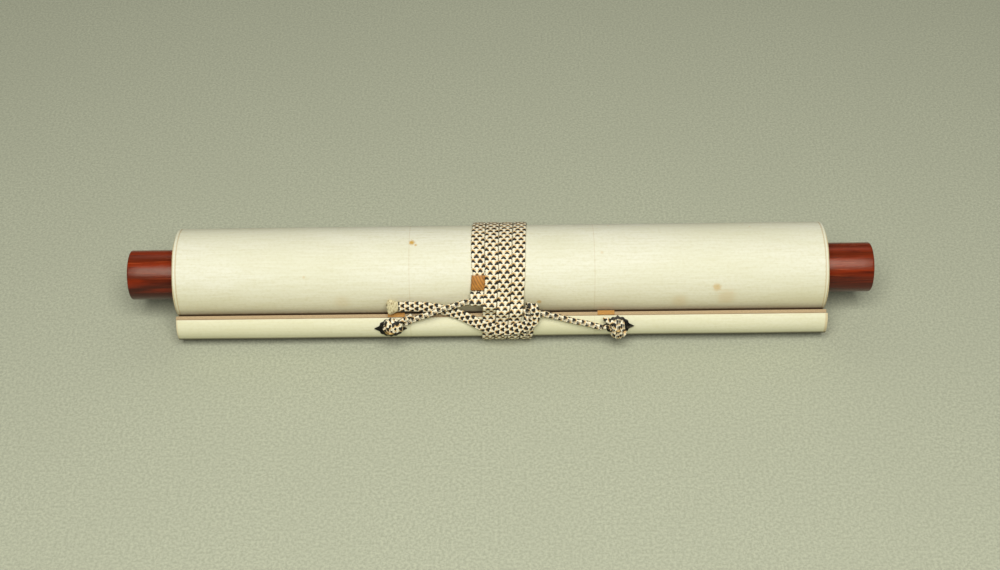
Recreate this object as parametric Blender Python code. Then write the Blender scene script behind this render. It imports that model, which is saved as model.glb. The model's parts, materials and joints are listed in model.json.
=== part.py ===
"""Hanging scroll, rolled up and tied for storage.

The laminated paper sheet is rolled on a wooden rod that has a turned knob on each end. Its outer end
leaves the bottom of the roll and is wrapped over the stave, a half-round strip of wood that lies in
front of the roll, flat side inwards. Two split-pin eyelets in the stave hold the hanging cord, and a
flat braided tie cord, looped on the hanging cord, goes four times round roll and stave and is hitched.

Frame: +X along the roll, +Y from the stave towards the roll, +Z up. The origin is on the resting
plane, under the middle of the flat stretch of the tie cord between the roll and the stave.

Sizes are in millimetres and become metres when a mesh is made. A cross-section has the coordinates
u, from the roller's axis towards the stave, and z, up from that axis.
"""

from math import asin, atan2, cos, degrees, hypot, pi, radians, sin

import bmesh
import bpy
import numpy as np
from mathutils import Matrix, Vector

MM = 0.001
CLEARANCE = 0.3                 # between pieces that touch

# Roller
ROD_RADIUS = 13.2
TENON_RADIUS = 8.0
TENON_LENGTH = 16.0
KNOB_RADIUS = 15.15
KNOB_PROJECTION = 30.3          # past the sheet's edge
KNOB_EDGE = 0.9                 # rounding of the knob's outer edge
PASTED_WRAP_THICKNESS = 0.5

# Sheet
SHEET_WIDTH = 394.0
SHEET_THICKNESS = 0.6
SHEET_PITCH = 1.04              # from one layer of the roll to the next
ROLL_RADIUS = 28.6              # where the outer layer leaves the roll
LOWER_MOUNT_TURNS = 4.0
ARTWORK_TURNS = 5.0
STEPS_PER_TURN = 28

# Stave and what covers it
STAVE_HALF_CHORD = 10.3
STAVE_LAND = 1.3                # straight edge above and below the round face
STAVE_CROWN = 9.2               # depth of the round face
CLOTH_THICKNESS = 0.4
COVER_THICKNESS = 0.5

# Wind bands, folded flat between the roll and the stave
BAND_WIDTH = 10.2
BAND_THICKNESS = 0.5
BAND_ROOT_X = 63.5
BAND_REACH = 188.0              # how far along the stave the folded packet goes

# Eyelets and their washers
EYELET_X = (-67.0, 70.5)
EYELET_ANGLE = 52.0             # above the crown of the round face, in degrees
EYELET_WIRE = 0.6               # radius
EYELET_RING = 2.6               # radius of the ring's centre line
EYELET_LEG_GAP = 0.3
EYELET_DEPTH = 9.0
WASHER_LENGTH = 19.0
WASHER_WIDTH = 12.0
WASHER_THICKNESS = 0.6

# Cords
TIE_WIDTH = 8.0
TIE_THICKNESS = 1.6
TIE_PITCH = 8.3                 # from one turn to the next
TIE_TOP_X = -13.45              # first strand, on top of the roll
TIE_START = 37.6                # where the first strand starts, from the top of the roll
TIE_END = 71.0                  # where the last strand ends, on the front of the stave
HANGING_RADIUS = 1.4
KNOT_HALF_SIZE = (6.7, 5.2, 3.5)
KNOT_RAISE = 0.5                # free height under the knots
KNOT_SHIFT = {"left": 0.8, "right": -1.7}
LOOP_HALF_THICKNESS = 0.5
LOOP_HOLD = (41.8, 3.05)        # distance round and height at which the loop holds the hanging cord
# Upper layer of the loop, from the hanging cord to the collar: distance round, height and facing.
LOOP_RETURN = [(40.2, 4.8, 200.0), (38.2, 3.9, 205.0), (36.1, 3.0, 200.0)]
# Rise of each turn of the tie cord over the hanging cord: height, distance round and reach.
STRAND_RISES = {1: (5.3, 44.0, 4.8), 2: (3.0, 48.4, 4.6), 3: (2.4, 49.3, 4.4)}
COLLAR_SPAN = (25.9, 35.6)      # distances round
COLLAR_WALL = 0.5
COLLAR_PINCH = 0.7              # the strand is narrower by this on each side inside the collar

# Distances round the wrapped section are measured from the top of the roll towards the stave. They
# keep their places beside the groove when a size changes: its mouth's middle is always at this one.
GROOVE_MIDDLE = 45.71
# Routes: x, distance round the wrapped section, height above it.
HANGING_ROUTE = [
    (-58.3, 55.4, 3.0), (-52.8, 53.2, 2.4), (-46.0, 50.4, 3.5), (-40.5, 48.2, 3.9), (-36.8, 46.8, 3.9),
    (-30.8, 44.9, 3.9), (-24.7, 43.2, 3.4), (-20.0, 42.0, 3.05), (-15.2, *LOOP_HOLD), (-11.2, 42.0, 3.0),
    (-7.2, 45.0, 1.9), (-3.0, 48.0, 0.6), (1.0, 49.0, -0.3), (6.0, 49.2, -0.4), (11.0, 49.3, -0.1),
    (15.0, 49.3, 0.8), (19.0, 49.4, 1.7), (24.1, 50.4, 2.2), (33.8, 52.7, 1.9), (43.5, 55.5, 1.9),
    (51.4, 57.1, 2.1), (56.5, 58.3, 2.8), (60.9, 59.2, 3.9),
]
TAIL_ROUTE = [      # the last two values are the half width and the half thickness
    (16.8, 69.8, 1.1, 4.0, 0.8), (17.2, 65.8, 1.1, 3.9, 0.8), (17.9, 61.0, 1.1, 3.5, 0.8),
    (18.7, 56.5, 1.0, 3.0, 0.8), (19.4, 52.6, 0.1, 2.6, 0.75), (19.9, 49.4, -1.0, 2.4, 0.7),
    (20.3, 46.6, 0.0, 2.4, 0.7), (20.7, 44.6, 1.9, 2.4, 0.7), (21.0, 44.5, 3.6, 2.4, 0.7),
    (21.3, 46.3, 4.8, 2.4, 0.7), (21.2, 49.4, 5.0, 2.5, 0.75), (20.4, 52.6, 4.8, 2.7, 0.8),
    (18.2, 55.6, 4.4, 3.0, 0.8), (14.6, 57.7, 4.0, 3.4, 0.8), (9.6, 59.1, 3.5, 3.7, 0.8),
    (3.6, 60.0, 3.4, 3.8, 0.8), (-2.8, 59.7, 3.4, 3.9, 0.8), (-8.6, 58.3, 3.4, 3.9, 0.8),
    (-13.6, 56.3, 3.0, 3.9, 0.8), (-19.0, 53.8, 1.8, 3.9, 0.8), (-25.0, 51.3, 1.2, 3.9, 0.8),
    (-33.0, 48.5, 1.1, 3.9, 0.8), (-43.0, 46.0, 1.1, 3.9, 0.8), (-52.0, 45.2, 1.1, 3.9, 0.8),
    (-60.0, 45.2, 1.1, 3.9, 0.8),
]
TAIL_END_ROUTE = [
    (-60.4, 45.2, 1.1, 3.9, 0.8), (-63.0, 45.2, 1.2, 4.1, 0.9), (-65.5, 45.3, 1.4, 4.5, 1.0),
    (-67.6, 45.4, 1.5, 4.2, 1.0), (-68.4, 45.5, 1.5, 3.4, 0.8),
]


# ---------------------------------------------------------------- cross-section

def roll_radius_at(angle):
    """Outer radius of the roll's last turn, which grows by one pitch up to 270 degrees, the bottom."""
    return ROLL_RADIUS - SHEET_PITCH * (270.0 - angle) / 360.0


def stave_stack(tilt):
    """Distances from the axis to the cloth's face, the wood's flat and the round face's centre."""
    cloth_face = roll_radius_at(-tilt) + BAND_THICKNESS + 2 * CLEARANCE
    wood_flat = cloth_face + CLOTH_THICKNESS + CLEARANCE
    return cloth_face, wood_flat, wood_flat + STAVE_LAND


COVER_INNER = (STAVE_CROWN + CLEARANCE, STAVE_HALF_CHORD + CLEARANCE)
COVER_OUTER = (COVER_INNER[0] + COVER_THICKNESS, COVER_INNER[1] + COVER_THICKNESS)


def level_tilt():
    """Tilt of the stave, in degrees, at which its lowest point is level with the roll's."""
    low, high = 10.0, 70.0
    for _ in range(60):
        middle = (low + high) / 2
        tilt = radians(middle)
        centre = stave_stack(middle)[2]
        depth = centre * sin(tilt) + hypot(COVER_OUTER[0] * sin(tilt), COVER_OUTER[1] * cos(tilt))
        if depth < ROLL_RADIUS:
            low = middle
        else:
            high = middle
    return middle


TILT = level_tilt()
CLOTH_FACE, WOOD_FLAT, CROWN_CENTRE = stave_stack(TILT)
DEPTH_AXIS = np.array([cos(radians(TILT)), -sin(radians(TILT))])
CHORD_AXIS = np.array([sin(radians(TILT)), cos(radians(TILT))])


def on_stave(depth, chord):
    """Section point at a distance from the axis through the stave and a place along its chord."""
    return DEPTH_AXIS * depth + CHORD_AXIS * chord


def on_crown(angle, half_axes):
    """Point of an ellipse round the crown's centre; 0 degrees is the crown, 90 its upper edge."""
    turn = radians(angle)
    return on_stave(CROWN_CENTRE + half_axes[0] * cos(turn), half_axes[1] * sin(turn))


def crown_normal(angle):
    """Outward unit normal of the covered round face."""
    turn = radians(angle)
    normal = DEPTH_AXIS * COVER_OUTER[1] * cos(turn) + CHORD_AXIS * COVER_OUTER[0] * sin(turn)
    return normal / np.linalg.norm(normal)


# The round face is lowest where its normal points straight down.
LOWEST_ANGLE = degrees(-atan2(COVER_OUTER[1] * cos(radians(TILT)), COVER_OUTER[0] * sin(radians(TILT))))
LOWEST_U = on_crown(LOWEST_ANGLE, COVER_OUTER)[0]


def convex_hull(points):
    """Convex hull of section points, anticlockwise."""
    ordered = sorted(map(tuple, points))

    def half(run):
        chain = []
        for point in run:
            while len(chain) > 1:
                edge = np.subtract(chain[-1], chain[-2])
                step = np.subtract(point, chain[-2])
                if edge[0] * step[1] - edge[1] * step[0] > 1e-9:
                    break
                chain.pop()
            chain.append(point)
        return chain[:-1]

    return np.array(half(ordered) + half(ordered[::-1]))


def wrapped_section():
    """Outline that a taut cord takes round roll and stave, clockwise from the top, with its normals."""
    angles = np.arange(-88, 271, 2)
    outline = [(roll_radius_at(a) * cos(radians(a)), roll_radius_at(a) * sin(radians(a))) for a in angles]
    outline += [on_crown(a, COVER_OUTER) for a in np.arange(-90, 91, 3)]
    hull = convex_hull(outline)[::-1]
    hull = np.roll(hull, -int(np.argmax(hull[:, 1])), axis=0)
    edges = np.roll(hull, -1, axis=0) - hull
    lengths = np.hypot(edges[:, 0], edges[:, 1])
    directions = edges / lengths[:, None]
    normals = np.column_stack([-directions[:, 1], directions[:, 0]])
    corners = normals + np.roll(normals, 1, axis=0)
    corners /= np.linalg.norm(corners, axis=1)[:, None]
    return hull, corners, np.concatenate([[0.0], np.cumsum(lengths)])


HULL, HULL_NORMALS, HULL_ARC = wrapped_section()
GIRTH = float(HULL_ARC[-1])


EDGES = np.diff(HULL_ARC[:len(HULL) // 2])
GROOVE_ARC = float(HULL_ARC[EDGES.argmax()] + EDGES.max() / 2)


def around(distance, height):
    """Section point and normal at a distance round the wrapped section and a height above it."""
    distance = (distance - GROOVE_MIDDLE + GROOVE_ARC) % GIRTH
    index = min(int(np.searchsorted(HULL_ARC, distance, side="right")) - 1, len(HULL) - 1)
    following = (index + 1) % len(HULL)
    share = (distance - HULL_ARC[index]) / (HULL_ARC[index + 1] - HULL_ARC[index])
    point = HULL[index] * (1 - share) + HULL[following] * share
    normal = HULL_NORMALS[index] * (1 - share) + HULL_NORMALS[following] * share
    normal /= np.linalg.norm(normal)
    return point + normal * height, normal


AXIS_HEIGHT = ROLL_RADIUS + CLEARANCE + TIE_THICKNESS
ORIGIN_U = LOWEST_U / 2


def world(x, section):
    """World point in metres of a place along the roll and a section point."""
    return Vector((x, ORIGIN_U - section[0], section[1] + AXIS_HEIGHT)) * MM


def world_direction(along, section):
    """World direction of a component along the roll and a section direction."""
    return Vector((along, -section[0], section[1]))


# ---------------------------------------------------------------- meshes

def material(name, colour, roughness, metallic=0.0):
    finish = bpy.data.materials.new(name)
    finish.use_nodes = True
    shader = finish.node_tree.nodes["Principled BSDF"]
    shader.inputs["Base Color"].default_value = (*colour, 1.0)
    shader.inputs["Roughness"].default_value = roughness
    shader.inputs["Metallic"].default_value = metallic
    return finish


def add_object(name, mesh, finish=None):
    obj = bpy.data.objects.new(name, mesh)
    bpy.context.scene.collection.objects.link(obj)
    if finish:
        mesh.materials.append(finish)
    return obj


def finish_mesh(name, bm, finish=None, smooth=True):
    """Makes a named object of a bmesh, with its faces turned outwards."""
    bmesh.ops.recalc_face_normals(bm, faces=bm.faces)
    mesh = bpy.data.meshes.new(name)
    bm.to_mesh(mesh)
    bm.free()
    if smooth:
        mesh.shade_smooth()
        mesh.set_sharp_from_angle(angle=radians(35))
    return add_object(name, mesh, finish)


def turned(name, profile, finish, steps=32):
    """Solid turned about the roller's axis from a profile of x and radius that ends on the axis."""
    bm = bmesh.new()
    rim = [bm.verts.new(world(x, (radius, 0.0))) for x, radius in profile]
    edges = [bm.edges.new(pair) for pair in zip(rim, rim[1:])]
    bmesh.ops.spin(bm, geom=rim + edges, cent=world(0, (0, 0)), axis=(1, 0, 0), angle=2 * pi, steps=steps)
    bmesh.ops.remove_doubles(bm, verts=bm.verts, dist=0.00001)
    return finish_mesh(name, bm, finish)


def extruded(name, outline, x_low, x_high, finish):
    """Prism of a closed section outline between two places along the roll."""
    bm = bmesh.new()
    face = bm.faces.new([bm.verts.new(world(x_low, point)) for point in outline])
    made = bmesh.ops.extrude_face_region(bm, geom=[face])
    moved = [item for item in made["geom"] if isinstance(item, bmesh.types.BMVert)]
    bmesh.ops.translate(bm, verts=moved, vec=((x_high - x_low) * MM, 0, 0))
    return finish_mesh(name, bm, finish, smooth=False)


def sheet_strip(name, centre_line, thickness, finish):
    """Sheet that follows a section line over the full sheet width, thickened to both sides."""
    bm = bmesh.new()
    left = [bm.verts.new(world(-SHEET_WIDTH / 2, point)) for point in centre_line]
    right = [bm.verts.new(world(SHEET_WIDTH / 2, point)) for point in centre_line]
    for index in range(len(centre_line) - 1):
        bm.faces.new((left[index], right[index], right[index + 1], left[index + 1]))
    obj = finish_mesh(name, bm, finish)
    solidify = obj.modifiers.new("thickness", "SOLIDIFY")
    solidify.thickness = thickness * MM
    solidify.offset = 0.0
    solidify.use_even_offset = True
    return obj


def sweep(name, centres, sides, normals, profiles, finish):
    """Carries a profile of (side, normal) offsets along a path; the ends are flat caps."""
    bm = bmesh.new()
    rings = []
    for centre, side, normal, profile in zip(centres, sides, normals, profiles):
        rings.append([bm.verts.new(centre + side * a * MM + normal * b * MM) for a, b in profile])
    count = len(rings[0])
    for ring, following in zip(rings, rings[1:]):
        for index in range(count):
            other = (index + 1) % count
            bm.faces.new((ring[index], ring[other], following[other], following[index]))
    bm.faces.new(rings[0])
    bm.faces.new(rings[-1][::-1])
    return finish_mesh(name, bm, finish)


def braid_profile(half_width, half_thickness):
    """Section of a flat braid, an eight-sided flat shape with rounded edges."""
    shoulder = half_width - half_thickness * 0.7
    edge = half_thickness * 0.4
    return [(half_width, -edge), (half_width, edge), (shoulder, half_thickness),
            (-shoulder, half_thickness), (-half_width, edge), (-half_width, -edge),
            (-shoulder, -half_thickness), (shoulder, -half_thickness)]


def smooth_path(points, step):
    """Catmull-Rom curve through the rows of points, read about every step along its length."""
    rows = np.array(points, dtype=float)
    rows = np.vstack([2 * rows[0] - rows[1], rows, 2 * rows[-1] - rows[-2]])
    out = []
    for index in range(1, len(rows) - 2):
        before, start, end, after = rows[index - 1:index + 3]
        count = max(1, round(float(np.linalg.norm((end - start)[:3])) / step))
        for share in np.arange(count) / count:
            out.append(0.5 * (2 * start + (end - before) * share
                              + (2 * before - 5 * start + 4 * end - after) * share ** 2
                              + (3 * start - before - 3 * end + after) * share ** 3))
    out.append(rows[-2])
    return np.array(out)


def swept_braid(name, route, finish, step=2.4):
    """Flat braid along a route of x, distance round, height, half width and half thickness."""
    rows = smooth_path(route, step)
    places = [around(row[1], row[2]) for row in rows]
    centres = [world(row[0], place[0]) for row, place in zip(rows, places)]
    sides, normals = [], []
    for index, centre in enumerate(centres):
        ahead = centres[min(index + 1, len(centres) - 1)] - centres[max(index - 1, 0)]
        ahead.normalize()
        outward = world_direction(0, places[index][1])
        side = sides[-1] if sides else Vector((1, 0, 0))
        across = ahead.cross(outward)
        if across.length > 0.5:
            across.normalize()
            side = across if across.dot(side) > 0 else -across
        side = (side - ahead * side.dot(ahead)).normalized()
        sides.append(side)
        normals.append(ahead.cross(side).normalized())
    profiles = [braid_profile(row[3], row[4]) for row in rows]
    return sweep(name, centres, sides, normals, profiles, finish)


def cut(obj, cutter):
    """Takes the cutter's shape out of an object."""
    boolean = obj.modifiers.new(cutter.name, "BOOLEAN")
    boolean.operation = "DIFFERENCE"
    boolean.object = cutter


def as_cutter(obj):
    obj.hide_render = True
    obj.display_type = "WIRE"
    return obj


def rod_cutter(name, start, end, radius):
    """Cylinder between two world points, for drilling."""
    axis = end - start
    bm = bmesh.new()
    bmesh.ops.create_cone(bm, cap_ends=True, segments=16, radius1=radius * MM, radius2=radius * MM,
                          depth=axis.length)
    turn = Vector((0, 0, 1)).rotation_difference(axis).to_matrix().to_4x4()
    bmesh.ops.transform(bm, matrix=Matrix.Translation((start + end) / 2) @ turn, verts=bm.verts)
    return as_cutter(finish_mesh(name, bm))


# ---------------------------------------------------------------- pieces

def make_roller(wood, knob_wood, paper):
    half = SHEET_WIDTH / 2
    tenon_end = half + TENON_LENGTH
    turned("roller_rod", [(-tenon_end, 0), (-tenon_end, TENON_RADIUS), (-half, TENON_RADIUS),
                          (-half, ROD_RADIUS), (half, ROD_RADIUS), (half, TENON_RADIUS),
                          (tenon_end, TENON_RADIUS), (tenon_end, 0)], wood)
    socket_radius = TENON_RADIUS + CLEARANCE
    inner, outer = half + CLEARANCE, half + KNOB_PROJECTION
    socket_end = tenon_end + CLEARANCE
    for side, name in ((-1, "roller_knob_left"), (1, "roller_knob_right")):
        turned(name, [(side * socket_end, 0), (side * socket_end, socket_radius),
                      (side * inner, socket_radius), (side * inner, KNOB_RADIUS - KNOB_EDGE / 2),
                      (side * (inner + KNOB_EDGE / 2), KNOB_RADIUS),
                      (side * (outer - KNOB_EDGE), KNOB_RADIUS),
                      (side * (outer - KNOB_EDGE * 0.3), KNOB_RADIUS - KNOB_EDGE * 0.3),
                      (side * outer, KNOB_RADIUS - KNOB_EDGE), (side * outer, 0)], knob_wood, 40)
    wrap_inner = ROD_RADIUS + CLEARANCE
    wrap_outer = wrap_inner + PASTED_WRAP_THICKNESS
    edge = half - CLEARANCE
    turned("sheet_pasted_wrap", [(-edge, wrap_inner), (-edge, wrap_outer), (edge, wrap_outer),
                                 (edge, wrap_inner), (-edge, wrap_inner)], paper)


def make_rolled_sheet(paper):
    """The spiral, from the roller outwards: lower mount, artwork, upper mount."""
    outer = ROLL_RADIUS - SHEET_THICKNESS / 2
    innermost = ROD_RADIUS + PASTED_WRAP_THICKNESS + 3 * CLEARANCE + SHEET_THICKNESS / 2
    turns = (outer - innermost) / SHEET_PITCH
    marks = [0.0, LOWER_MOUNT_TURNS, LOWER_MOUNT_TURNS + ARTWORK_TURNS, turns]
    for index, name in enumerate(("sheet_lower_mount", "sheet_artwork", "sheet_upper_mount")):
        joint_gap = CLEARANCE / (2 * pi * outer)
        start = marks[index] + (joint_gap if index else 0)
        count = round((marks[index + 1] - start) * STEPS_PER_TURN)
        line = []
        for turn in np.linspace(start, marks[index + 1], count + 1):
            radius = innermost + SHEET_PITCH * turn
            angle = radians(270 - 360 * (turns - turn))
            line.append((radius * cos(angle), radius * sin(angle)))
        sheet_strip(name, line, SHEET_THICKNESS, paper)


def make_stave(wood, cloth, paper):
    """The stave, the cloth on its flat side and upper edge, and the sheet's end over its crown."""
    crown = [on_crown(a, (STAVE_CROWN, STAVE_HALF_CHORD)) for a in np.linspace(-90, 90, 25)]
    flat = [on_stave(WOOD_FLAT, STAVE_HALF_CHORD), on_stave(WOOD_FLAT, -STAVE_HALF_CHORD)]
    stave = extruded("stave", crown + flat, -SHEET_WIDTH / 2, SHEET_WIDTH / 2, wood)
    upper = STAVE_HALF_CHORD + CLEARANCE
    face_back = CLOTH_FACE + CLOTH_THICKNESS
    cloth_outline = [(CLOTH_FACE, -STAVE_HALF_CHORD), (face_back, -STAVE_HALF_CHORD), (face_back, upper),
                     (CROWN_CENTRE, upper), (CROWN_CENTRE, upper + CLOTH_THICKNESS),
                     (CLOTH_FACE, upper + CLOTH_THICKNESS)]
    extruded("stave_front_cloth", [on_stave(*point) for point in cloth_outline],
             -SHEET_WIDTH / 2, SHEET_WIDTH / 2, cloth)
    middle = [(a + b) / 2 for a, b in zip(COVER_INNER, COVER_OUTER)]
    start_angle = 90 - degrees(asin(CLEARANCE / middle[0]))
    line = [on_crown(a, middle) for a in np.linspace(start_angle, LOWEST_ANGLE, 26)]
    lowest = line[-1]
    level = -ROLL_RADIUS + COVER_THICKNESS / 2
    for u in np.linspace(lowest[0], CLEARANCE, 5)[1:]:
        line.append(np.array([u, level]))
    cover = sheet_strip("sheet_stave_wrap", line, COVER_THICKNESS, paper)
    return stave, cover


def make_wind_bands(silk):
    """Folded packets against the stave's flat side, each rooted over the stave's upper edge."""
    packet = (CLOTH_FACE - CLEARANCE - BAND_THICKNESS, CLOTH_FACE - CLEARANCE)
    top = STAVE_HALF_CHORD + 2 * CLEARANCE + CLOTH_THICKNESS
    inner, outer = packet
    hook = [(inner, 0.0), (outer, 0.0), (outer, top), (CROWN_CENTRE, top),
            (CROWN_CENTRE, top + BAND_THICKNESS), (inner, top + BAND_THICKNESS)]
    low = -0.4
    run = [(inner, low), (outer, low), (outer, low + BAND_WIDTH), (inner, low + BAND_WIDTH)]
    for side, name in ((-1, "wind_band_left"), (1, "wind_band_right")):
        root_low = side * BAND_ROOT_X - BAND_WIDTH / 2
        root_high = side * BAND_ROOT_X + BAND_WIDTH / 2
        ends = sorted((side * (BAND_ROOT_X - BAND_WIDTH / 2), side * BAND_REACH))
        band_object(name, hook, run, (root_low, root_high), ends, silk)


def band_object(name, hook, run, root, ends, silk):
    """One band: the hook over the stave's edge and the packet, as a mesh that shares their wall."""
    bm = bmesh.new()
    beyond = ends[0] if abs(ends[0]) > abs(ends[1]) else ends[1]
    near, far = (root[1], root[0]) if beyond < 0 else (root[0], root[1])
    split = run[2][1]

    def ring(x, points):
        return [bm.verts.new(world(x, on_stave(*point))) for point in points]

    # The hook's outline has extra corners at the packet's edges, so the two share vertices.
    low = run[0][1]
    outline = [(hook[0][0], low), (hook[1][0], low), (hook[1][0], split)] + hook[2:] + [(hook[0][0], split)]
    first = ring(near, outline)
    second = ring(far, outline)
    packet_end = ring(beyond, [outline[0], outline[1], outline[2], outline[-1]])
    count = len(outline)
    for index in range(count):
        other = (index + 1) % count
        bm.faces.new((first[index], first[other], second[other], second[index]))
    bm.faces.new(first)
    packet_start = [second[0], second[1], second[2], second[-1]]
    bm.faces.new([second[-1]] + second[2:-1])
    for index in range(4):
        other = (index + 1) % 4
        bm.faces.new((packet_start[index], packet_start[other], packet_end[other], packet_end[index]))
    bm.faces.new(packet_end[::-1])
    finish_mesh(name, bm, silk, smooth=False)


def make_fixings(stave, cover, metal, dark_metal, cord):
    """For each eyelet: its drilled hole, washer, split pin and the knot of the hanging cord on it."""
    seat = on_crown(EYELET_ANGLE, COVER_OUTER)
    outward = crown_normal(EYELET_ANGLE)
    leg_offset = EYELET_WIRE + EYELET_LEG_GAP / 2
    bore = leg_offset + EYELET_WIRE + CLEARANCE
    ring_height = CLEARANCE + WASHER_THICKNESS + 2 * EYELET_WIRE + EYELET_RING
    for x, side in zip(EYELET_X, ("left", "right")):

        def at(along, height, x=x):
            return world(x + along, seat + outward * height)

        drill = rod_cutter(f"drill_{side}", at(0, 2.0), at(0, -EYELET_DEPTH - CLEARANCE), bore)
        cut(stave, drill)
        cut(cover, drill)
        make_washer(f"washer_{side}", x, bore + CLEARANCE / 2, dark_metal)
        opening = degrees(asin(leg_offset / EYELET_RING))
        wire = [(-leg_offset, -EYELET_DEPTH), (-leg_offset, 0.0)]
        for angle in np.linspace(270 - opening, opening - 90, 20):
            wire.append((EYELET_RING * cos(radians(angle)),
                         ring_height + EYELET_RING * sin(radians(angle))))
        wire += [(leg_offset, 0.0), (leg_offset, -EYELET_DEPTH)]
        round_wire(f"eyelet_{side}", [at(*place) for place in wire], EYELET_WIRE,
                   world_direction(0, outward).cross(Vector((1, 0, 0))), metal)
        make_knot(side, x, seat, outward, ring_height, bore, cord)


def round_wire(name, points, radius, plane_normal, finish):
    """Round wire along points that lie in one plane."""
    sides, normals = [], []
    for index in range(len(points)):
        ahead = points[min(index + 1, len(points) - 1)] - points[max(index - 1, 0)]
        sides.append(plane_normal.normalized())
        normals.append(ahead.normalized().cross(plane_normal).normalized())
    circle = [(radius * cos(a), radius * sin(a)) for a in np.arange(8) * pi / 4]
    return sweep(name, points, sides, normals, [circle] * len(points), finish)


def make_washer(name, x, hole, finish):
    """Lozenge-shaped plate with a scalloped edge, bent to the stave's round face."""
    count = 40
    crown_radius = (COVER_OUTER[0] + COVER_OUTER[1]) / 2
    bm = bmesh.new()
    rings = {}
    for level in (CLEARANCE, CLEARANCE + WASHER_THICKNESS):
        for edge in ("hole", "rim"):
            ring = []
            for angle in np.arange(count) * 2 * pi / count:
                lozenge = 1 / (abs(cos(angle)) / (WASHER_LENGTH / 2) + abs(sin(angle)) / (WASHER_WIDTH / 2))
                scallop = 1 + 0.07 * cos(8 * angle)
                radius = hole if edge == "hole" else lozenge * scallop + 0.6 * abs(sin(2 * angle))
                bend = EYELET_ANGLE + degrees(radius * sin(angle) / crown_radius)
                place = on_crown(bend, COVER_OUTER) + crown_normal(bend) * level
                ring.append(bm.verts.new(world(x + radius * cos(angle), place)))
            rings[level, edge] = ring
    low, high = (CLEARANCE, CLEARANCE + WASHER_THICKNESS)
    walls = [((low, "hole"), (low, "rim")), ((low, "rim"), (high, "rim")),
             ((high, "rim"), (high, "hole")), ((high, "hole"), (low, "hole"))]
    for first, second in walls:
        for index in range(count):
            other = (index + 1) % count
            bm.faces.new((rings[first][index], rings[first][other],
                          rings[second][other], rings[second][index]))
    finish_mesh(name, bm, finish)


def make_knot(side, x, seat, outward, ring_height, bore, finish):
    """Knot of the hanging cord: a lump round the eyelet's ring, hollow where the ring passes."""
    along, across, high = KNOT_HALF_SIZE
    lift = 2 * CLEARANCE + WASHER_THICKNESS + high + KNOT_RAISE
    centre = world(x + KNOT_SHIFT[side], seat + outward * lift)
    axes = Matrix((Vector((1, 0, 0)), world_direction(0, (-outward[1], outward[0])),
                   world_direction(0, outward))).transposed().to_4x4()
    place = Matrix.Translation(centre) @ axes
    bm = bmesh.new()
    bmesh.ops.create_uvsphere(bm, u_segments=18, v_segments=11, radius=MM)
    bmesh.ops.transform(bm, matrix=place @ Matrix.Diagonal((along, across, high, 1)), verts=bm.verts)
    knot = finish_mesh(f"hanging_cord_knot_{side}", bm, finish)
    ring_points = []
    for angle in np.arange(24) * pi / 12:
        ring_points.append(world(x + EYELET_RING * cos(angle),
                                 seat + outward * (ring_height + EYELET_RING * sin(angle))))
    cut(knot, ring_cutter(f"ring_space_{side}", ring_points, EYELET_WIRE + CLEARANCE,
                          world_direction(0, outward).cross(Vector((1, 0, 0)))))
    cut(knot, rod_cutter(f"leg_space_{side}", world(x, seat), world(x, seat + outward * (ring_height - 1.0)),
                         bore))


def ring_cutter(name, points, radius, plane_normal):
    """Closed ring of round section along points that lie in one plane."""
    bm = bmesh.new()
    count = len(points)
    rings = []
    for index, point in enumerate(points):
        ahead = (points[(index + 1) % count] - points[index - 1]).normalized()
        normal = ahead.cross(plane_normal).normalized()
        rings.append([bm.verts.new(point + (plane_normal.normalized() * cos(a) + normal * sin(a)) * radius * MM)
                      for a in np.arange(8) * pi / 4])
    for index in range(count):
        ring, following = rings[index], rings[(index + 1) % count]
        for step in range(8):
            other = (step + 1) % 8
            bm.faces.new((ring[step], ring[other], following[other], following[step]))
    return as_cutter(finish_mesh(name, bm))


def hump(distance, turn):
    """Height that a strand gains where it crosses over the hanging cord, by its number of turns."""
    if turn not in STRAND_RISES:
        return 0.0
    height, centre, reach = STRAND_RISES[turn]
    return height * float(np.exp(-((distance - centre) / reach) ** 2))


def make_tie_cord(braid, leather):
    """Four turns round roll and stave, the sewn loop, the hitched tail and the leather collar."""
    height = CLEARANCE + TIE_THICKNESS / 2
    start, end = -TIE_START, 4 * GIRTH - TIE_END
    stations = np.linspace(start, end, round((end - start) / 4.3) + 1)
    flat_start = HULL_ARC[np.argmax(HULL[:, 1] < -ROLL_RADIUS + 1e-6)] + GROOVE_MIDDLE - GROOVE_ARC
    flat_ends = [number * GIRTH - flat_start for number in range(1, 5)]
    stations = np.sort(np.concatenate([stations, flat_ends]))
    centres, sides, normals, profiles = [], [], [], []
    for station in stations:
        distance = (-station) % GIRTH
        turn = int(np.floor((station + GIRTH / 2) / GIRTH))
        section, normal = around(-station, height + hump(distance, turn))
        collared = turn == 0 and COLLAR_SPAN[0] - 3 < distance < COLLAR_SPAN[1] + 3
        half_width = TIE_WIDTH / 2 - (COLLAR_PINCH if collared else 0.0)
        centres.append(world(TIE_TOP_X + TIE_PITCH * station / GIRTH, section))
        sides.append(Vector((1, 0, 0)))
        normals.append(world_direction(0, normal))
        profiles.append(braid_profile(half_width, TIE_THICKNESS / 2))
    sweep("tie_cord_turns", centres, sides, normals, profiles, braid)
    make_tie_loop(braid)
    swept_braid("tie_cord_tail", TAIL_ROUTE, braid)
    swept_braid("tie_cord_end", TAIL_END_ROUTE, braid, 1.6)
    make_collar(height, leather)


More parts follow.
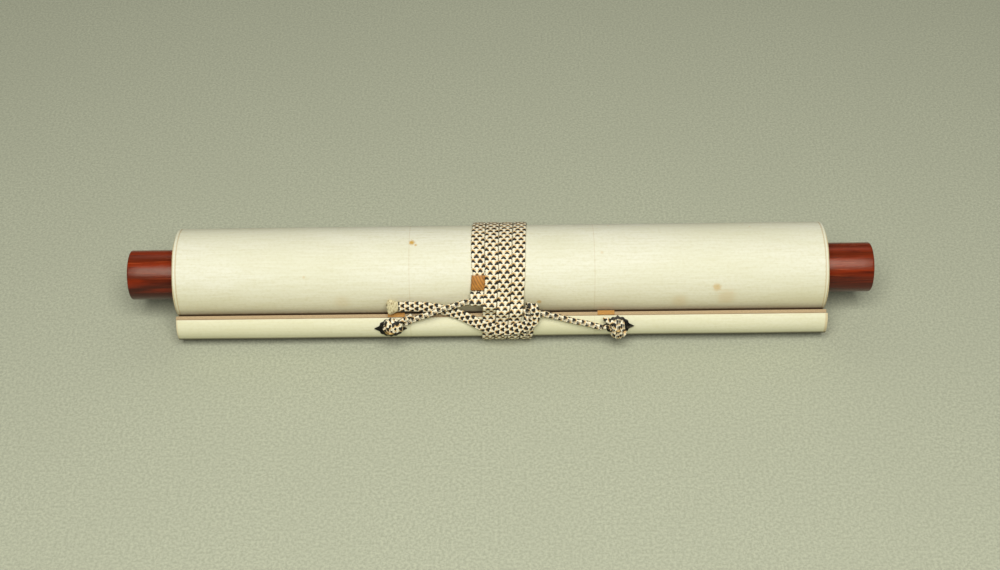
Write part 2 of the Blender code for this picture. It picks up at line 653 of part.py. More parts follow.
def make_tie_loop(braid):
    """Sewn loop at the start of the tie cord: under the hanging cord, round it and back up."""
    height = CLEARANCE + LOOP_HALF_THICKNESS
    hold_distance, hold_height = LOOP_HOLD
    bend = hold_height - height
    path = [(TIE_START + CLEARANCE, height, 0.0), (hold_distance - 1.2, height, 0.0)]
    for angle in np.linspace(-90, 90, 9):
        path.append((hold_distance + bend * cos(radians(angle)),
                     hold_height + bend * sin(radians(angle)), angle + 90))
    path += LOOP_RETURN
    centres, sides, normals, profiles = [], [], [], []
    for distance, lift, turn in path:
        section, normal = around(distance, lift)
        downward = np.array([normal[1], -normal[0]])
        facing = normal * cos(radians(turn)) - downward * sin(radians(turn))
        x = TIE_TOP_X - TIE_PITCH * hold_distance / GIRTH
        centres.append(world(x, section))
        sides.append(Vector((1, 0, 0)))
        normals.append(world_direction(0, facing))
        profiles.append(braid_profile(TIE_WIDTH / 2, LOOP_HALF_THICKNESS))
    sweep("tie_cord_loop", centres, sides, normals, profiles, braid)


def make_collar(height, leather):
    """Leather collar that covers the sewing: a channel over the first strand."""
    inner = TIE_WIDTH / 2 - COLLAR_PINCH + CLEARANCE
    outer = inner + COLLAR_WALL * 0.8
    roof = TIE_THICKNESS / 2 + CLEARANCE
    floor = -TIE_THICKNESS / 2
    profile = [(-outer, floor), (-outer, roof + COLLAR_WALL), (outer, roof + COLLAR_WALL), (outer, floor),
               (inner, floor), (inner, roof), (-inner, roof), (-inner, floor)]
    centres, sides, normals = [], [], []
    for distance in np.linspace(*COLLAR_SPAN, 6):
        section, normal = around(distance, height)
        centres.append(world(TIE_TOP_X - TIE_PITCH * distance / GIRTH, section))
        sides.append(Vector((1, 0, 0)))
        normals.append(world_direction(0, normal))
    sweep("leather_collar", centres, sides, normals, [profile] * 6, leather)


def make_hanging_cord(braid):
    """Cord between the two eyelets, as a curve of round section."""
    rows = smooth_path(HANGING_ROUTE, 2.9)
    curve = bpy.data.curves.new("hanging_cord", "CURVE")
    curve.dimensions = "3D"
    curve.bevel_depth = HANGING_RADIUS * MM
    curve.bevel_resolution = 2
    curve.use_fill_caps = True
    spline = curve.splines.new("POLY")
    spline.points.add(len(rows) - 1)
    for point, row in zip(spline.points, rows):
        point.co = (*world(row[0], around(row[1], row[2])[0]), 1.0)
    add_object("hanging_cord", curve)
    curve.materials.append(braid)


def main():
    for obj in list(bpy.data.objects):
        bpy.data.objects.remove(obj, do_unlink=True)
    softwood = material("softwood", (0.62, 0.45, 0.27), 0.6)
    rosewood = material("rosewood", (0.19, 0.035, 0.018), 0.3)
    paper = material("backing_paper", (0.84, 0.81, 0.62), 0.85)
    brown_cloth = material("brown_cloth", (0.42, 0.28, 0.14), 0.85)
    orange_silk = material("orange_silk", (0.62, 0.31, 0.06), 0.6)
    brass = material("brass", (0.60, 0.45, 0.18), 0.35, 1.0)
    dark_iron = material("dark_iron", (0.03, 0.028, 0.022), 0.5, 0.8)
    leather = material("tan_leather", (0.45, 0.20, 0.045), 0.6)
    braid = material("braided_silk", (0.72, 0.66, 0.48), 0.7)
    make_roller(softwood, rosewood, paper)
    make_rolled_sheet(paper)
    stave, cover = make_stave(softwood, brown_cloth, paper)
    make_wind_bands(orange_silk)
    make_fixings(stave, cover, brass, dark_iron, braid)
    make_tie_cord(braid, leather)
    make_hanging_cord(braid)


main()
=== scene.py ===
"""Looks of a rolled and tied hanging scroll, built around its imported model.

Sizes inside the section functions are in millimetres; a mesh is in metres. A section point has the
coordinates u, from the roller's axis towards the stave, and z, up from that axis.
"""

import json
from math import asin, atan2, cos, degrees, hypot, pi, radians, sin

import bpy
import numpy as np
from mathutils import Matrix, Vector

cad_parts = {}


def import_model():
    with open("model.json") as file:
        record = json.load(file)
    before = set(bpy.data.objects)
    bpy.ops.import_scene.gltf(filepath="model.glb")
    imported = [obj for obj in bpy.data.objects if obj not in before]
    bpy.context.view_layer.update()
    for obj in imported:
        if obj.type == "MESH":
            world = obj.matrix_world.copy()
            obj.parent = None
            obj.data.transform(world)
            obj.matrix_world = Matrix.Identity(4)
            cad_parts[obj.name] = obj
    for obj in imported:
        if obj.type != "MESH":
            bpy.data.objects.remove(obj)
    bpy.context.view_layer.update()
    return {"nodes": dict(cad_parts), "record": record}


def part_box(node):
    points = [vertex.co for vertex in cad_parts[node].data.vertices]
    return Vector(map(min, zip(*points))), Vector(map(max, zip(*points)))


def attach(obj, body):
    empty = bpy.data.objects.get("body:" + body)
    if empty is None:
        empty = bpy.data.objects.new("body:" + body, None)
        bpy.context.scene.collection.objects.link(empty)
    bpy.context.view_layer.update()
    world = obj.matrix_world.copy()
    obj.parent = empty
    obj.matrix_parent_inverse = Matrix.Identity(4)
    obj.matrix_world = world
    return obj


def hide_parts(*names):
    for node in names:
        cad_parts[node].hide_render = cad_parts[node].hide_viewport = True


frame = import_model()

bl_info = {
    "name": "Tied hanging scroll",
    "version": (1, 0, 0),
    "blender": (4, 5, 0),
    "location": "View3D > Sidebar > Scroll",
    "description": "Builds the paper, wood, cords and fixings of a rolled and tied hanging scroll",
    "category": "Add Mesh",
}

MM = 0.001
CLEARANCE = 0.3
ROLLER_AXIS = frame["record"]["behaviour"]["joints"][0]["pos_m"]
ORIGIN_U = ROLLER_AXIS[1] / MM
AXIS_HEIGHT = ROLLER_AXIS[2] / MM
SIDES = ((-1, "left"), (1, "right"))
KNOB_EDGE = 1.0                     # rounding of the knob's outer edge
KNOB_POLE = 0.02                    # radius of the small flat that closes the knob's end
SOCKET_RADIUS = 8.4
TIE_WIDTH = 8.0
TIE_THICKNESS = 1.6
TIE_PITCH = 8.3
ROLL_RADIUS = AXIS_HEIGHT - CLEARANCE - TIE_THICKNESS
SHEET_HALF = float(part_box("sheet_upper_mount")[1][0]) / MM
SHEET_THICKNESS = 0.6
SHEET_PITCH = 1.04
SHEET_TURNS_START = 14.9            # radius of the innermost layer's centre line
STAVE_HALF_CHORD = 10.3
STAVE_LAND = 1.3
STAVE_CROWN = 9.2
CLOTH_THICKNESS = 0.4
COVER_THICKNESS = 0.5
BAND_THICKNESS = 0.5
BAND_WIDTH = 10.2
EYELET_ANGLE = 52.0
EYELET_WIRE = 0.6
EYELET_RING = 2.6                   # radius of the eye's centre line
EYELET_DEPTH = 9.0
WASHER_HOLE = 1.85                  # radius
WASHER_THICKNESS = 0.6
TIE_TOP_X = -13.45
TIE_START = 37.6
TIE_END = 71.0
LOOP_HALF_THICKNESS = 0.5
# Rise of each turn of the tie cord over the hanging cord: height, distance round and reach.
STRAND_RISES = {1: (5.3, 44.0, 4.8), 2: (3.0, 48.4, 4.6), 3: (2.4, 49.3, 4.4)}
STRAND_SQUEEZE = 0.33               # the strands are narrower by this on each side over the stave
COLLAR_SPAN = (25.9, 35.6)          # distances round
COLLAR_PINCH = 0.7                  # the strand is narrower by this on each side inside the collar
COLLAR_ROOF = 2.75                  # height of the collar's top over the wrapped section
COLLAR_WALL = 0.5
COLLAR_SIDE_WALL = 0.42
CHEVRON_ACROSS = 2.0                # half the distance between two chevrons of one row
CHEVRON_ALONG = 2.85                # from one row of chevrons to the next

# Routes: x, distance round the wrapped section from the top of the roll, height above it.
HANGING_ROUTE = [
    (-58.3, 55.4, 3.0), (-52.8, 53.2, 2.4), (-46.0, 50.4, 3.5), (-40.5, 48.2, 3.9), (-36.8, 46.8, 3.9),
    (-30.8, 44.9, 3.9), (-24.7, 43.2, 3.4), (-20.0, 42.0, 3.05), (-15.2, 41.8, 3.05), (-11.2, 42.0, 3.0),
    (-7.2, 45.0, 1.9), (-3.0, 48.0, 0.6), (1.0, 49.0, -0.3), (6.0, 49.2, -0.4), (11.0, 49.3, 0.0),
    (15.0, 49.3, 1.3), (19.0, 49.4, 2.0), (24.1, 50.4, 2.2), (33.8, 52.7, 1.9), (43.5, 55.5, 1.9),
    (51.4, 57.1, 2.1), (56.5, 58.3, 2.8), (60.9, 59.2, 3.6),
]
TAIL_ROUTE = [      # the last two values are the half width and the half thickness
    (14.75, 70.3, 1.1, 3.7, 0.8), (15.3, 66.0, 1.1, 3.7, 0.8), (16.1, 61.0, 1.1, 3.6, 0.8),
    (16.8, 56.5, 1.0, 3.5, 0.8), (17.2, 52.6, 0.1, 3.3, 0.75), (17.5, 49.4, -1.1, 3.2, 0.7),
    (17.7, 46.6, -0.1, 3.1, 0.7), (18.0, 44.4, 1.9, 3.0, 0.75), (18.7, 44.2, 3.8, 2.9, 0.8),
    (19.8, 46.0, 5.2, 2.8, 0.8), (20.7, 49.2, 5.4, 2.7, 0.85), (20.3, 52.8, 5.1, 2.8, 0.9),
    (18.2, 55.8, 4.5, 3.0, 0.9), (14.6, 57.9, 3.8, 3.3, 0.9), (9.6, 59.2, 3.3, 3.5, 0.9),
    (3.6, 60.0, 3.2, 3.6, 0.9), (-2.8, 59.7, 3.2, 3.6, 0.9), (-8.6, 58.3, 3.2, 3.5, 0.9),
    (-13.6, 56.3, 2.9, 3.4, 0.95), (-19.0, 53.6, 2.0, 3.3, 1.0), (-25.0, 50.9, 1.4, 3.2, 1.05),
    (-33.0, 48.0, 1.3, 3.1, 1.1), (-43.0, 46.0, 1.3, 3.1, 1.1), (-52.0, 45.2, 1.3, 3.1, 1.1),
    (-61.9, 45.2, 1.3, 3.0, 1.1),
]


# ---------------------------------------------------------------- vectors

def unit(vectors):
    """Vectors of length one, along the last axis."""
    return vectors / np.linalg.norm(vectors, axis=-1, keepdims=True)


def run_lengths(points):
    """Distance along a line of points, from 0 at its first."""
    return np.append(0.0, np.cumsum(np.linalg.norm(np.diff(points, axis=0), axis=1)))


def signed_power(values, exponent):
    """Power of the size of each value, with the value's own sign."""
    return np.sign(values) * np.abs(values) ** exponent


# ---------------------------------------------------------------- cross-section

def roll_radius_at(angle):
    """Outer radius of the last turn: it grows evenly by one pitch up to 270 degrees, the bottom."""
    return ROLL_RADIUS - SHEET_PITCH * (270.0 - angle) / 360.0


def stave_stack(tilt):
    """Distances from the axis to the cloth's face, the wood's flat and the round face's centre."""
    cloth_face = roll_radius_at(-tilt) + BAND_THICKNESS + 2 * CLEARANCE
    wood_flat = cloth_face + CLOTH_THICKNESS + CLEARANCE
    return cloth_face, wood_flat, wood_flat + STAVE_LAND


COVER_INNER = (STAVE_CROWN + CLEARANCE, STAVE_HALF_CHORD + CLEARANCE)
COVER_OUTER = (COVER_INNER[0] + COVER_THICKNESS, COVER_INNER[1] + COVER_THICKNESS)


def level_tilt():
    """Tilt of the stave, in degrees, at which its lowest point is level with the roll's."""
    low, high = 10.0, 70.0
    for _ in range(60):
        middle = (low + high) / 2
        tilt = radians(middle)
        depth = stave_stack(middle)[2] * sin(tilt) + hypot(COVER_OUTER[0] * sin(tilt),
                                                           COVER_OUTER[1] * cos(tilt))
        if depth < ROLL_RADIUS:
            low = middle
        else:
            high = middle
    return middle


TILT = level_tilt()
CLOTH_FACE, _, CROWN_CENTRE = stave_stack(TILT)
DEPTH_AXIS = np.array([cos(radians(TILT)), -sin(radians(TILT))])
CHORD_AXIS = np.array([sin(radians(TILT)), cos(radians(TILT))])


def on_stave(depth, chord):
    """Section points at distances along the stave's depth and chord."""
    return np.multiply.outer(np.asarray(depth, float), DEPTH_AXIS) + np.multiply.outer(
        np.asarray(chord, float), CHORD_AXIS)


def on_crown(angle, half_axes=COVER_OUTER):
    """Points of an ellipse round the crown's centre; 0 degrees is the crown, 90 its upper edge."""
    turn = np.radians(angle)
    return on_stave(CROWN_CENTRE + half_axes[0] * np.cos(turn), half_axes[1] * np.sin(turn))


def crown_normal(angle):
    """Outward unit normals of the covered round face."""
    turn = np.radians(angle)
    return unit(on_stave(COVER_OUTER[1] * np.cos(turn), COVER_OUTER[0] * np.sin(turn)))


LOWEST_ANGLE = degrees(-atan2(COVER_OUTER[1] * cos(radians(TILT)), COVER_OUTER[0] * sin(radians(TILT))))


def convex_hull(points):
    """Convex hull of section points, anticlockwise, by the two monotone chains."""
    ordered = sorted(map(tuple, points))

    def half(run):
        chain = []
        for point in run:
            while len(chain) > 1:
                edge = np.subtract(chain[-1], chain[-2])
                step = np.subtract(point, chain[-2])
                if edge[0] * step[1] - edge[1] * step[0] > 1e-9:
                    break
                chain.pop()
            chain.append(point)
        return chain[:-1]

    return np.array(half(ordered) + half(ordered[::-1]))


def wrapped_section():
    """Outline that a taut cord takes round roll and stave, clockwise from the top, closed."""
    angles = np.arange(-88, 271, 2)
    turn = np.radians(angles)
    circle = roll_radius_at(angles)[:, None] * np.column_stack([np.cos(turn), np.sin(turn)])
    hull = convex_hull(np.vstack([circle, on_crown(np.arange(-90, 91, 3))]))[::-1]
    hull = np.roll(hull, -int(np.argmax(hull[:, 1])), axis=0)
    edges = np.roll(hull, -1, axis=0) - hull
    lengths = np.hypot(edges[:, 0], edges[:, 1])
    directions = edges / lengths[:, None]
    normals = np.column_stack([-directions[:, 1], directions[:, 0]])
    corners = unit(normals + np.roll(normals, 1, axis=0))
    return np.vstack([hull, hull[:1]]), np.vstack([corners, corners[:1]]), np.append(0, np.cumsum(lengths))


HULL, HULL_NORMALS, HULL_ARC = wrapped_section()
GIRTH = float(HULL_ARC[-1])


def around(distance, height):
    """Section points and normals at distances round the wrapped section and heights above it."""
    place = np.mod(np.asarray(distance, float), GIRTH)
    point, normal = (np.stack([np.interp(place, HULL_ARC, rows[:, i]) for i in (0, 1)], axis=-1)
                     for rows in (HULL, HULL_NORMALS))
    normal = unit(normal)
    return point + normal * np.asarray(height, float)[..., None], normal


def world(x, section):
    """World points in metres of places along the roll and section points."""
    section = np.asarray(section, float)
    x = np.broadcast_to(np.asarray(x, float), section.shape[:-1])
    return np.stack([x, ORIGIN_U - section[..., 0], section[..., 1] + AXIS_HEIGHT], axis=-1) * MM


def world_direction(along, section):
    """World directions of components along the roll and section directions."""
    section = np.asarray(section, float)
    along = np.broadcast_to(np.asarray(along, float), section.shape[:-1])
    return np.stack([along, -section[..., 0], section[..., 1]], axis=-1)


# ---------------------------------------------------------------- surfaces

def smooth_wave(values, seed, terms=5, period=60.0):
    """Sum of a few sines of the values with seeded phases, about -1 to 1."""
    rng = np.random.default_rng(seed)
    total = np.zeros_like(np.asarray(values, float))
    for term in range(1, terms + 1):
        total += np.sin(2 * pi * values * term / period + rng.uniform(0, 2 * pi)) / term
    return total / 1.8


def add_mesh(name, points, faces, finish, uv=None, smooth=True):
    """Object of a vertex array and face lists, with a UV for each vertex."""
    mesh = bpy.data.meshes.new(name)
    mesh.from_pydata(points.reshape(-1, 3), [], faces)
    if uv is not None:
        layer = mesh.uv_layers.new(name="UVMap")
        corners = np.empty(len(mesh.loops), dtype=np.int32)
        mesh.loops.foreach_get("vertex_index", corners)
        layer.data.foreach_set("uv", uv.reshape(-1, 2)[corners].astype(np.float32).ravel())
    mesh.update()
    if smooth:
        mesh.shade_smooth()
        mesh.set_sharp_from_angle(angle=radians(40))
    mesh.materials.append(finish)
    obj = bpy.data.objects.new(name, mesh)
    bpy.context.scene.collection.objects.link(obj)
    return obj


def grid_faces(rows, columns, wrap=False, start=0):
    """Quads of a grid of vertices, row after row; wrap joins the last column to the first."""
    row, column = np.meshgrid(np.arange(rows - 1), np.arange(columns if wrap else columns - 1), indexing="ij")
    following = (column + 1) % columns
    quads = np.stack([row * columns + column, row * columns + following,
                      (row + 1) * columns + following, (row + 1) * columns + column], axis=-1)
    return (quads.reshape(-1, 4) + start).tolist()


def outward(obj):
    """Turns a closed piece's faces outwards: its signed volume must be positive."""
    mesh = obj.data
    mesh.calc_loop_triangles()
    corners = np.empty(len(mesh.loop_triangles) * 3, dtype=np.int32)
    mesh.loop_triangles.foreach_get("vertices", corners)
    points = np.empty(len(mesh.vertices) * 3, dtype=np.float32)
    mesh.vertices.foreach_get("co", points)
    a, b, c = points.reshape(-1, 3).astype(float)[corners.reshape(-1, 3)].transpose(1, 0, 2)
    if np.einsum("ij,ij->i", a, np.cross(b, c)).sum() < 0:
        mesh.flip_normals()
    return obj


def tube_surface(name, rings, finish, uv=None, closed=False):
    """Skin over rings of vertices (stations x ring x 3); open tubes get flat caps."""
    stations, count = rings.shape[:2]
    faces = grid_faces(stations, count, wrap=True)
    if closed:
        last = (stations - 1) * count
        faces += [[last + i, last + (i + 1) % count, (i + 1) % count, i] for i in range(count)]
    else:
        faces += [list(range(count))[::-1], list(range((stations - 1) * count, stations * count))]
    return outward(add_mesh(name, rings, faces, finish, uv))


def turned_surface(name, profile, finish, steps=96):
    """Surface turned about the roller's axis: each profile point (x, radius) becomes a ring."""
    profile = np.asarray(profile, float)
    turn = np.arange(steps) * 2 * pi / steps
    section = profile[:, 1, None, None] * np.stack([np.cos(turn), np.sin(turn)], axis=-1)
    return tube_surface(name, world(profile[:, 0, None], section), finish)


def smooth_path(points, step):
    """Catmull-Rom curve through the rows of points, read about every step along its length."""
    rows = np.asarray(points, float)
    rows = np.vstack([2 * rows[0] - rows[1], rows, 2 * rows[-1] - rows[-2]])
    out = []
    for index in range(1, len(rows) - 2):
        before, start, end, after = rows[index - 1:index + 3]
        count = max(1, round(float(np.linalg.norm((end - start)[:3])) / step))
        share = (np.arange(count) / count)[:, None]
        out.append(0.5 * (2 * start + (end - before) * share
                          + (2 * before - 5 * start + 4 * end - after) * share ** 2
                          + (3 * start - before - 3 * end + after) * share ** 3))
    return np.vstack(out + [rows[-2]])


def path_frames(centres, outwards):
    """Unit side and normal vectors along a path, turned from one station to the next without a jump."""
    ahead = unit(np.gradient(centres, axis=0))
    sides = np.empty_like(centres)
    side = np.array([1.0, 0, 0])
    for index, (step, out) in enumerate(zip(ahead, outwards)):
        across = np.cross(step, out)
        size = np.linalg.norm(across)
        if size > 0.5:
            across /= size
            wanted = across if across @ side > 0 else -across
            side = side + 0.25 * (wanted - side)
        side = unit(side - step * (side @ step))
        sides[index] = side
    return sides, np.cross(ahead, sides)


def braid_relief(across, along):
    """Height of a braid's bundles, 0 to 1: pillows midway between the chevrons of the lattice."""
    p = across / CHEVRON_ACROSS
    q = along / CHEVRON_ALONG + 1
    a = (p + q) / 2
    b = (q - p) / 2
    return np.abs(np.cos(pi * a) * np.cos(pi * b)) ** 0.7


def braid_skin(name, centres, sides, normals, half_width, half_thickness, finish, relief=0.16, ring=44):
    """Flat braid: a rounded flat section carried along a path, raised by the braid's relief.

    The section is x = a sgn(cos) |cos|^0.55 and y = b sgn(sin) |sin|^0.8, for half width a and half
    thickness b. Its UV is the distance across, scaled to a whole number of chevrons round the braid,
    and the distance along.
    """
    turn = (np.arange(ring) + 0.5) * 2 * pi / ring - pi / 2
    a, b = half_width[:, None], half_thickness[:, None]
    x = a * signed_power(np.cos(turn), 0.55)
    y = b * signed_power(np.sin(turn), 0.8)
    edge = np.hypot(np.diff(x, axis=1, append=x[:, :1]), np.diff(y, axis=1, append=y[:, :1]))
    girth = edge.sum(axis=1)
    places = np.cumsum(edge, axis=1) - edge
    repeat = 2 * CHEVRON_ACROSS
    whole = np.maximum(2, np.round(girth.mean() / repeat)) * repeat
    across = (places - places[:, ring // 2][:, None]) * (whole / girth)[:, None]
    along = np.broadcast_to(run_lengths(centres)[:, None] / MM, across.shape)
    lift = relief * (braid_relief(across, along) - 0.6)
    size = np.hypot(x / a ** 2, y / b ** 2)
    x, y = x + lift * (x / a ** 2) / size, y + lift * (y / b ** 2) / size
    rings = centres[:, None] + sides[:, None] * x[..., None] * MM + normals[:, None] * y[..., None] * MM
    return tube_surface(name, rings, finish, np.stack([across, along], axis=-1))


# ---------------------------------------------------------------- shader maths

class Field:
    """A shader socket that carries a number; arithmetic on it adds Math nodes."""

    def __init__(self, shade, socket):
        self.shade = shade
        self.socket = socket

    def _with(self, operation, other=0.0, swap=False):
        pair = (other, self) if swap else (self, other)
        return self.shade.node("Math", {"operation": operation}, {0: pair[0], 1: pair[1]})

    def __abs__(self):
        return self._with("ABSOLUTE")

    def rounded(self):
        return self._with("ROUND")

    def most(self, other):
        return self._with("MAXIMUM", other)

    def fade(self, start, end, low=0.0, high=1.0):
        """Smooth step of the value from start to end."""
        return self.shade.node("MapRange", {"interpolation_type": "SMOOTHSTEP"},
                               {0: self, 1: start, 2: end, 3: low, 4: high})


def add_operator(sign, operation):
    """Gives Field a Python operator and its reflected form."""
    setattr(Field, f"__{sign}__", lambda self, other: self._with(operation, other))
    setattr(Field, f"__r{sign}__", lambda self, other: self._with(operation, other, True))


for sign, operation in (("add", "ADD"), ("sub", "SUBTRACT"), ("mul", "MULTIPLY"),
                        ("truediv", "DIVIDE"), ("pow", "POWER")):
    add_operator(sign, operation)


class Shade:
    """One procedural material: its nodes, its Principled shader and helpers that add to it."""

    def __init__(self, name, roughness=0.6, metallic=0.0, **constants):
        self.material = bpy.data.materials.new(name)
        self.material.use_nodes = True
        self.tree = self.material.node_tree
        self.shader = self.tree.nodes["Principled BSDF"]
        self.shader.inputs["Roughness"].default_value = roughness
        self.shader.inputs["Metallic"].default_value = metallic
        for socket, value in constants.items():
            self.shader.inputs[socket.replace("_", " ")].default_value = value
        self.height = None

    def node(self, kind, settings=None, inputs=None, output=0):
        """Adds a node of a type, with its settings first and then its sockets' values or links."""
        made = self.tree.nodes.new("ShaderNode" + kind)
        for key, value in (settings or {}).items():
            setattr(made, key, value)
        for key, value in (inputs or {}).items():
            self.feed(made.inputs[key], value)
        return Field(self, made.outputs[output])

    def feed(self, socket, value):
        if isinstance(value, Field):
            self.tree.links.new(value.socket, socket)
        elif socket.type == "RGBA" and len(value) == 3:
            socket.default_value = (*value, 1.0)
        else:
            socket.default_value = value

    def split(self, vector):
        parts = self.node("SeparateXYZ", None, {0: vector})
        return [Field(self, socket) for socket in parts.socket.node.outputs]

    def place(self, scale=1.0):
        """Object coordinates in millimetres times a scale, as three numbers."""
        return [part * (scale / MM) for part in self.split(self.node("TexCoord", output=3))]

    def surface_place(self):
        """The piece's own UV, in the units it was written in."""
        return self.split(self.node("UVMap", {"uv_map": "UVMap"}))[:2]

    def vector(self, x, y, z=0.0):
        return self.node("CombineXYZ", None, {0: x, 1: y, 2: z})

    def noise(self, places, detail=3.0, roughness=0.55, distortion=0.0):
        """Noise read at two or three numbers, each already divided by the size of its pattern."""
        return self.node("TexNoise", None, {
            "Vector": self.vector(*places), "Scale": 1.0, "Detail": detail, "Roughness": roughness,
            "Distortion": distortion})

    def mix(self, factor, first, second):
        """Mix of two colours by a factor."""
        return self.node("Mix", {"data_type": "RGBA"}, {0: factor, 6: first, 7: second}, 2)

    def finish(self, colour=None, roughness=None, height=None, bump=1.0, distance=0.0002):
        if colour is not None:
            self.feed(self.shader.inputs["Base Color"], colour)
        if roughness is not None:
            self.feed(self.shader.inputs["Roughness"], roughness)
        if height is not None:
            normal = self.node("Bump", None, {"Strength": bump, "Distance": distance, "Height": height})
            self.tree.links.new(normal.socket, self.shader.inputs["Normal"])
        return self.material


# ---------------------------------------------------------------- materials

def scaled(colour, share):
    """A colour made lighter or darker by a share."""
    return tuple(share * part for part in colour)


def shade_line(value, centre, half_width):
    """1 on a line where the value is at the centre, fading to 0 at the half width."""
    return abs(value - centre).fade(half_width, half_width * 0.3)


# Distance along the outer sheet, from where its last turn starts under the roll, to the groove.
GROOVE_LENGTH = (ROLL_RADIUS - SHEET_PITCH) * radians(TILT + 30.0)
# The same to the stave's lower edge.
STAVE_LENGTH = 2 * pi * (ROLL_RADIUS - SHEET_PITCH / 2) + 22.0


# Brown specks of age: place along the roll, place along the sheet, size and strength.
FOXING = ((-53.2, 83.4, 2.5, 1.0), (-51.0, 81.6, 1.2, 0.7), (130.0, 53.0, 3.6, 0.55), (23.0, 43.5, 2.0, 0.7),
          (108.0, 43.0, 7.0, 0.22), (136.0, 46.0, 8.0, 0.25), (-96.0, 45.0, 7.0, 0.15),
          (-118.0, 62.0, 1.2, 0.3), (61.0, 75.0, 1.4, 0.25), (152.0, 96.0, 1.0, 0.3), (66.0, 100.0, 1.1, 0.3))


def backing_paper(colours):
    """Cream laminated paper: fibres along the roll, cloudy tone, joints, hems, a few brown specks, and painted
    shade at the groove and under the stave.
    """
    shade = Shade("backing_paper", 0.62, Specular_IOR_Level=0.35)
    x, length = shade.surface_place()
    cloud = shade.noise((x * 0.010, length * 0.035), 3.0)
    fibre = shade.noise((x * 0.045, length * 0.75), 5.0, 0.7)
    pulp = shade.noise((x * 0.45, length * 0.6), 4.0, 0.7)
    speck = shade.noise((x * 0.14, length * 0.2), 1.0).fade(0.78, 0.86)
    tone = shade.mix(cloud.fade(0.35, 0.68), colours.paper_light, colours.paper_warm)
    grain = fibre.fade(0.36, 0.70) * 0.42 + pulp.fade(0.42, 0.66) * 0.33
    tone = shade.mix(grain, tone, colours.paper_fibre)
    joint = shade_line(abs(x - 56.5), 0.0, 0.35).most(shade_line(abs(x + 55.0), 0.0, 0.35))
    edge = abs(x)
    hem = edge.fade(SHEET_HALF - 8.2, SHEET_HALF - 7.6)
    crease = shade_line(edge + (fibre - 0.5) * 0.8, SHEET_HALF - 1.9, 0.55) * length.fade(STAVE_LENGTH, 170.0)
    tone = shade.mix(joint * 0.22 + crease * 0.5, tone, (0.50, 0.34, 0.13))
    # Painted shade: the paper turns darker and yellower towards the groove between roll and stave.
    painted_groove_shade = length.fade(GROOVE_LENGTH + 34.0, GROOVE_LENGTH)
    tone = shade.mix(painted_groove_shade * 0.38, tone, (0.58, 0.47, 0.20))
    # Painted shadow: the paper is near black deep in the groove, where it runs down under the cloth's edge.
    depth = length.fade(GROOVE_LENGTH + 4.9 + (pulp - 0.5) * 2.0, GROOVE_LENGTH + 2.2)
    tone = shade.mix(depth * 0.93, tone, (0.07, 0.028, 0.008))
    on_stave_end = length.fade(STAVE_LENGTH, STAVE_LENGTH + 4.0)
    tone = shade.mix(on_stave_end * 0.35, tone, (0.72, 0.68, 0.36))
    tone = shade.mix(on_stave_end * edge.fade(SHEET_HALF - 1.5, SHEET_HALF) * 0.5, tone, (0.50, 0.33, 0.12))
    # Painted shade: a dark brown band on the stave's underside, facing the floor.
    under = length.fade(STAVE_LENGTH + 15.6, STAVE_LENGTH + 12.4)
    under = under * length.fade(STAVE_LENGTH - 4.0, STAVE_LENGTH)
    tone = shade.mix(under * 0.85, tone, (0.055, 0.035, 0.015))
    marks = None
    for mark_x, mark_length, size, strength in FOXING:
        distance = ((x - mark_x) * (x - mark_x) + (length - mark_length) * (length - mark_length)) ** 0.5
        ragged = distance + (pulp - 0.5) * size * 1.6
        spot = ragged.fade(size, size * 0.25) * strength
        marks = spot if marks is None else marks.most(spot)
    tone = shade.mix(marks.most(speck * 0.30), tone, (0.60, 0.36, 0.07))
    height = fibre * 0.5 + pulp * 0.5 - joint * 0.7 - crease * 0.9 + hem * 0.8
    return shade.finish(tone, (pulp - 0.5) * 0.2 + 0.64, height, 0.35, 0.0002)


def rosewood(colours):
    """Polished dark red wood: streaks along the grain, pores and a soft lacquer coat, with a painted lighter
    top and painted shade below.
    """
    shade = Shade("polished_rosewood", 0.3, Coat_Weight=0.02, Coat_Roughness=0.08, Specular_IOR_Level=0.40,
                  Specular_Tint=(1.0, 0.80, 0.66, 1.0))
    x, y, z = shade.place()
    band = shade.noise((x * 0.012, y * 0.16, z * 0.16), 3.0, 0.5, 0.6)
    streak = shade.noise((x * 0.03, y * 0.75, z * 0.75), 4.0, 0.6, 0.3)
    pores = shade.noise((x * 0.14, y * 3.6, z * 3.6), 2.0, 0.6)
    tone = shade.mix(band.fade(0.36, 0.62), colours.wood_dark, colours.wood_red)
    # Painted light: the upper part of the knob is lighter and more orange, with stronger orange streaks.
    painted_top_light = z.fade(AXIS_HEIGHT + 2.0, AXIS_HEIGHT + 11.0)
    tone = shade.mix(painted_top_light * 0.22, tone, colours.wood_orange)
    tone = shade.mix(streak.fade(0.56, 0.74) * (painted_top_light * 0.50 + 0.22), tone, colours.wood_orange)
    # Painted shade: the lower half of the knob darkens towards the dark grain.
    tone = shade.mix(z.fade(AXIS_HEIGHT + 7.0, AXIS_HEIGHT - 6.0) * 0.80, tone, colours.wood_dark)
    tone = shade.mix(streak.fade(0.44, 0.30) * 0.7, tone, (0.022, 0.006, 0.005))
    tone = shade.mix(pores.fade(0.60, 0.74) * 0.5, tone, (0.03, 0.008, 0.006))
    return shade.finish(tone, streak * 0.3 + 0.08, pores * -1.0 + streak * 0.8, 0.4, 0.00015)


def softwood():
    """Planed pale wood, with growth rings on its ends and fine grain along its length."""
    shade = Shade("softwood", 0.55)
    x, y, z = shade.place()
    rings = shade.noise((x * 0.006, y * 0.45, z * 0.16), 3.0, 0.5, 1.2)
    line = ((rings * 14).rounded() - rings * 14)
    grain = shade.noise((x * 0.05, y * 2.2, z * 2.2), 4.0)
    tone = shade.mix(abs(line).fade(0.0, 0.5), (0.62, 0.44, 0.24), (0.44, 0.27, 0.12))
    tone = shade.mix(grain.fade(0.42, 0.68) * 0.5, tone, (0.34, 0.20, 0.09))
    return shade.finish(tone, grain * 0.2 + 0.45, grain, 0.3, 0.0002)


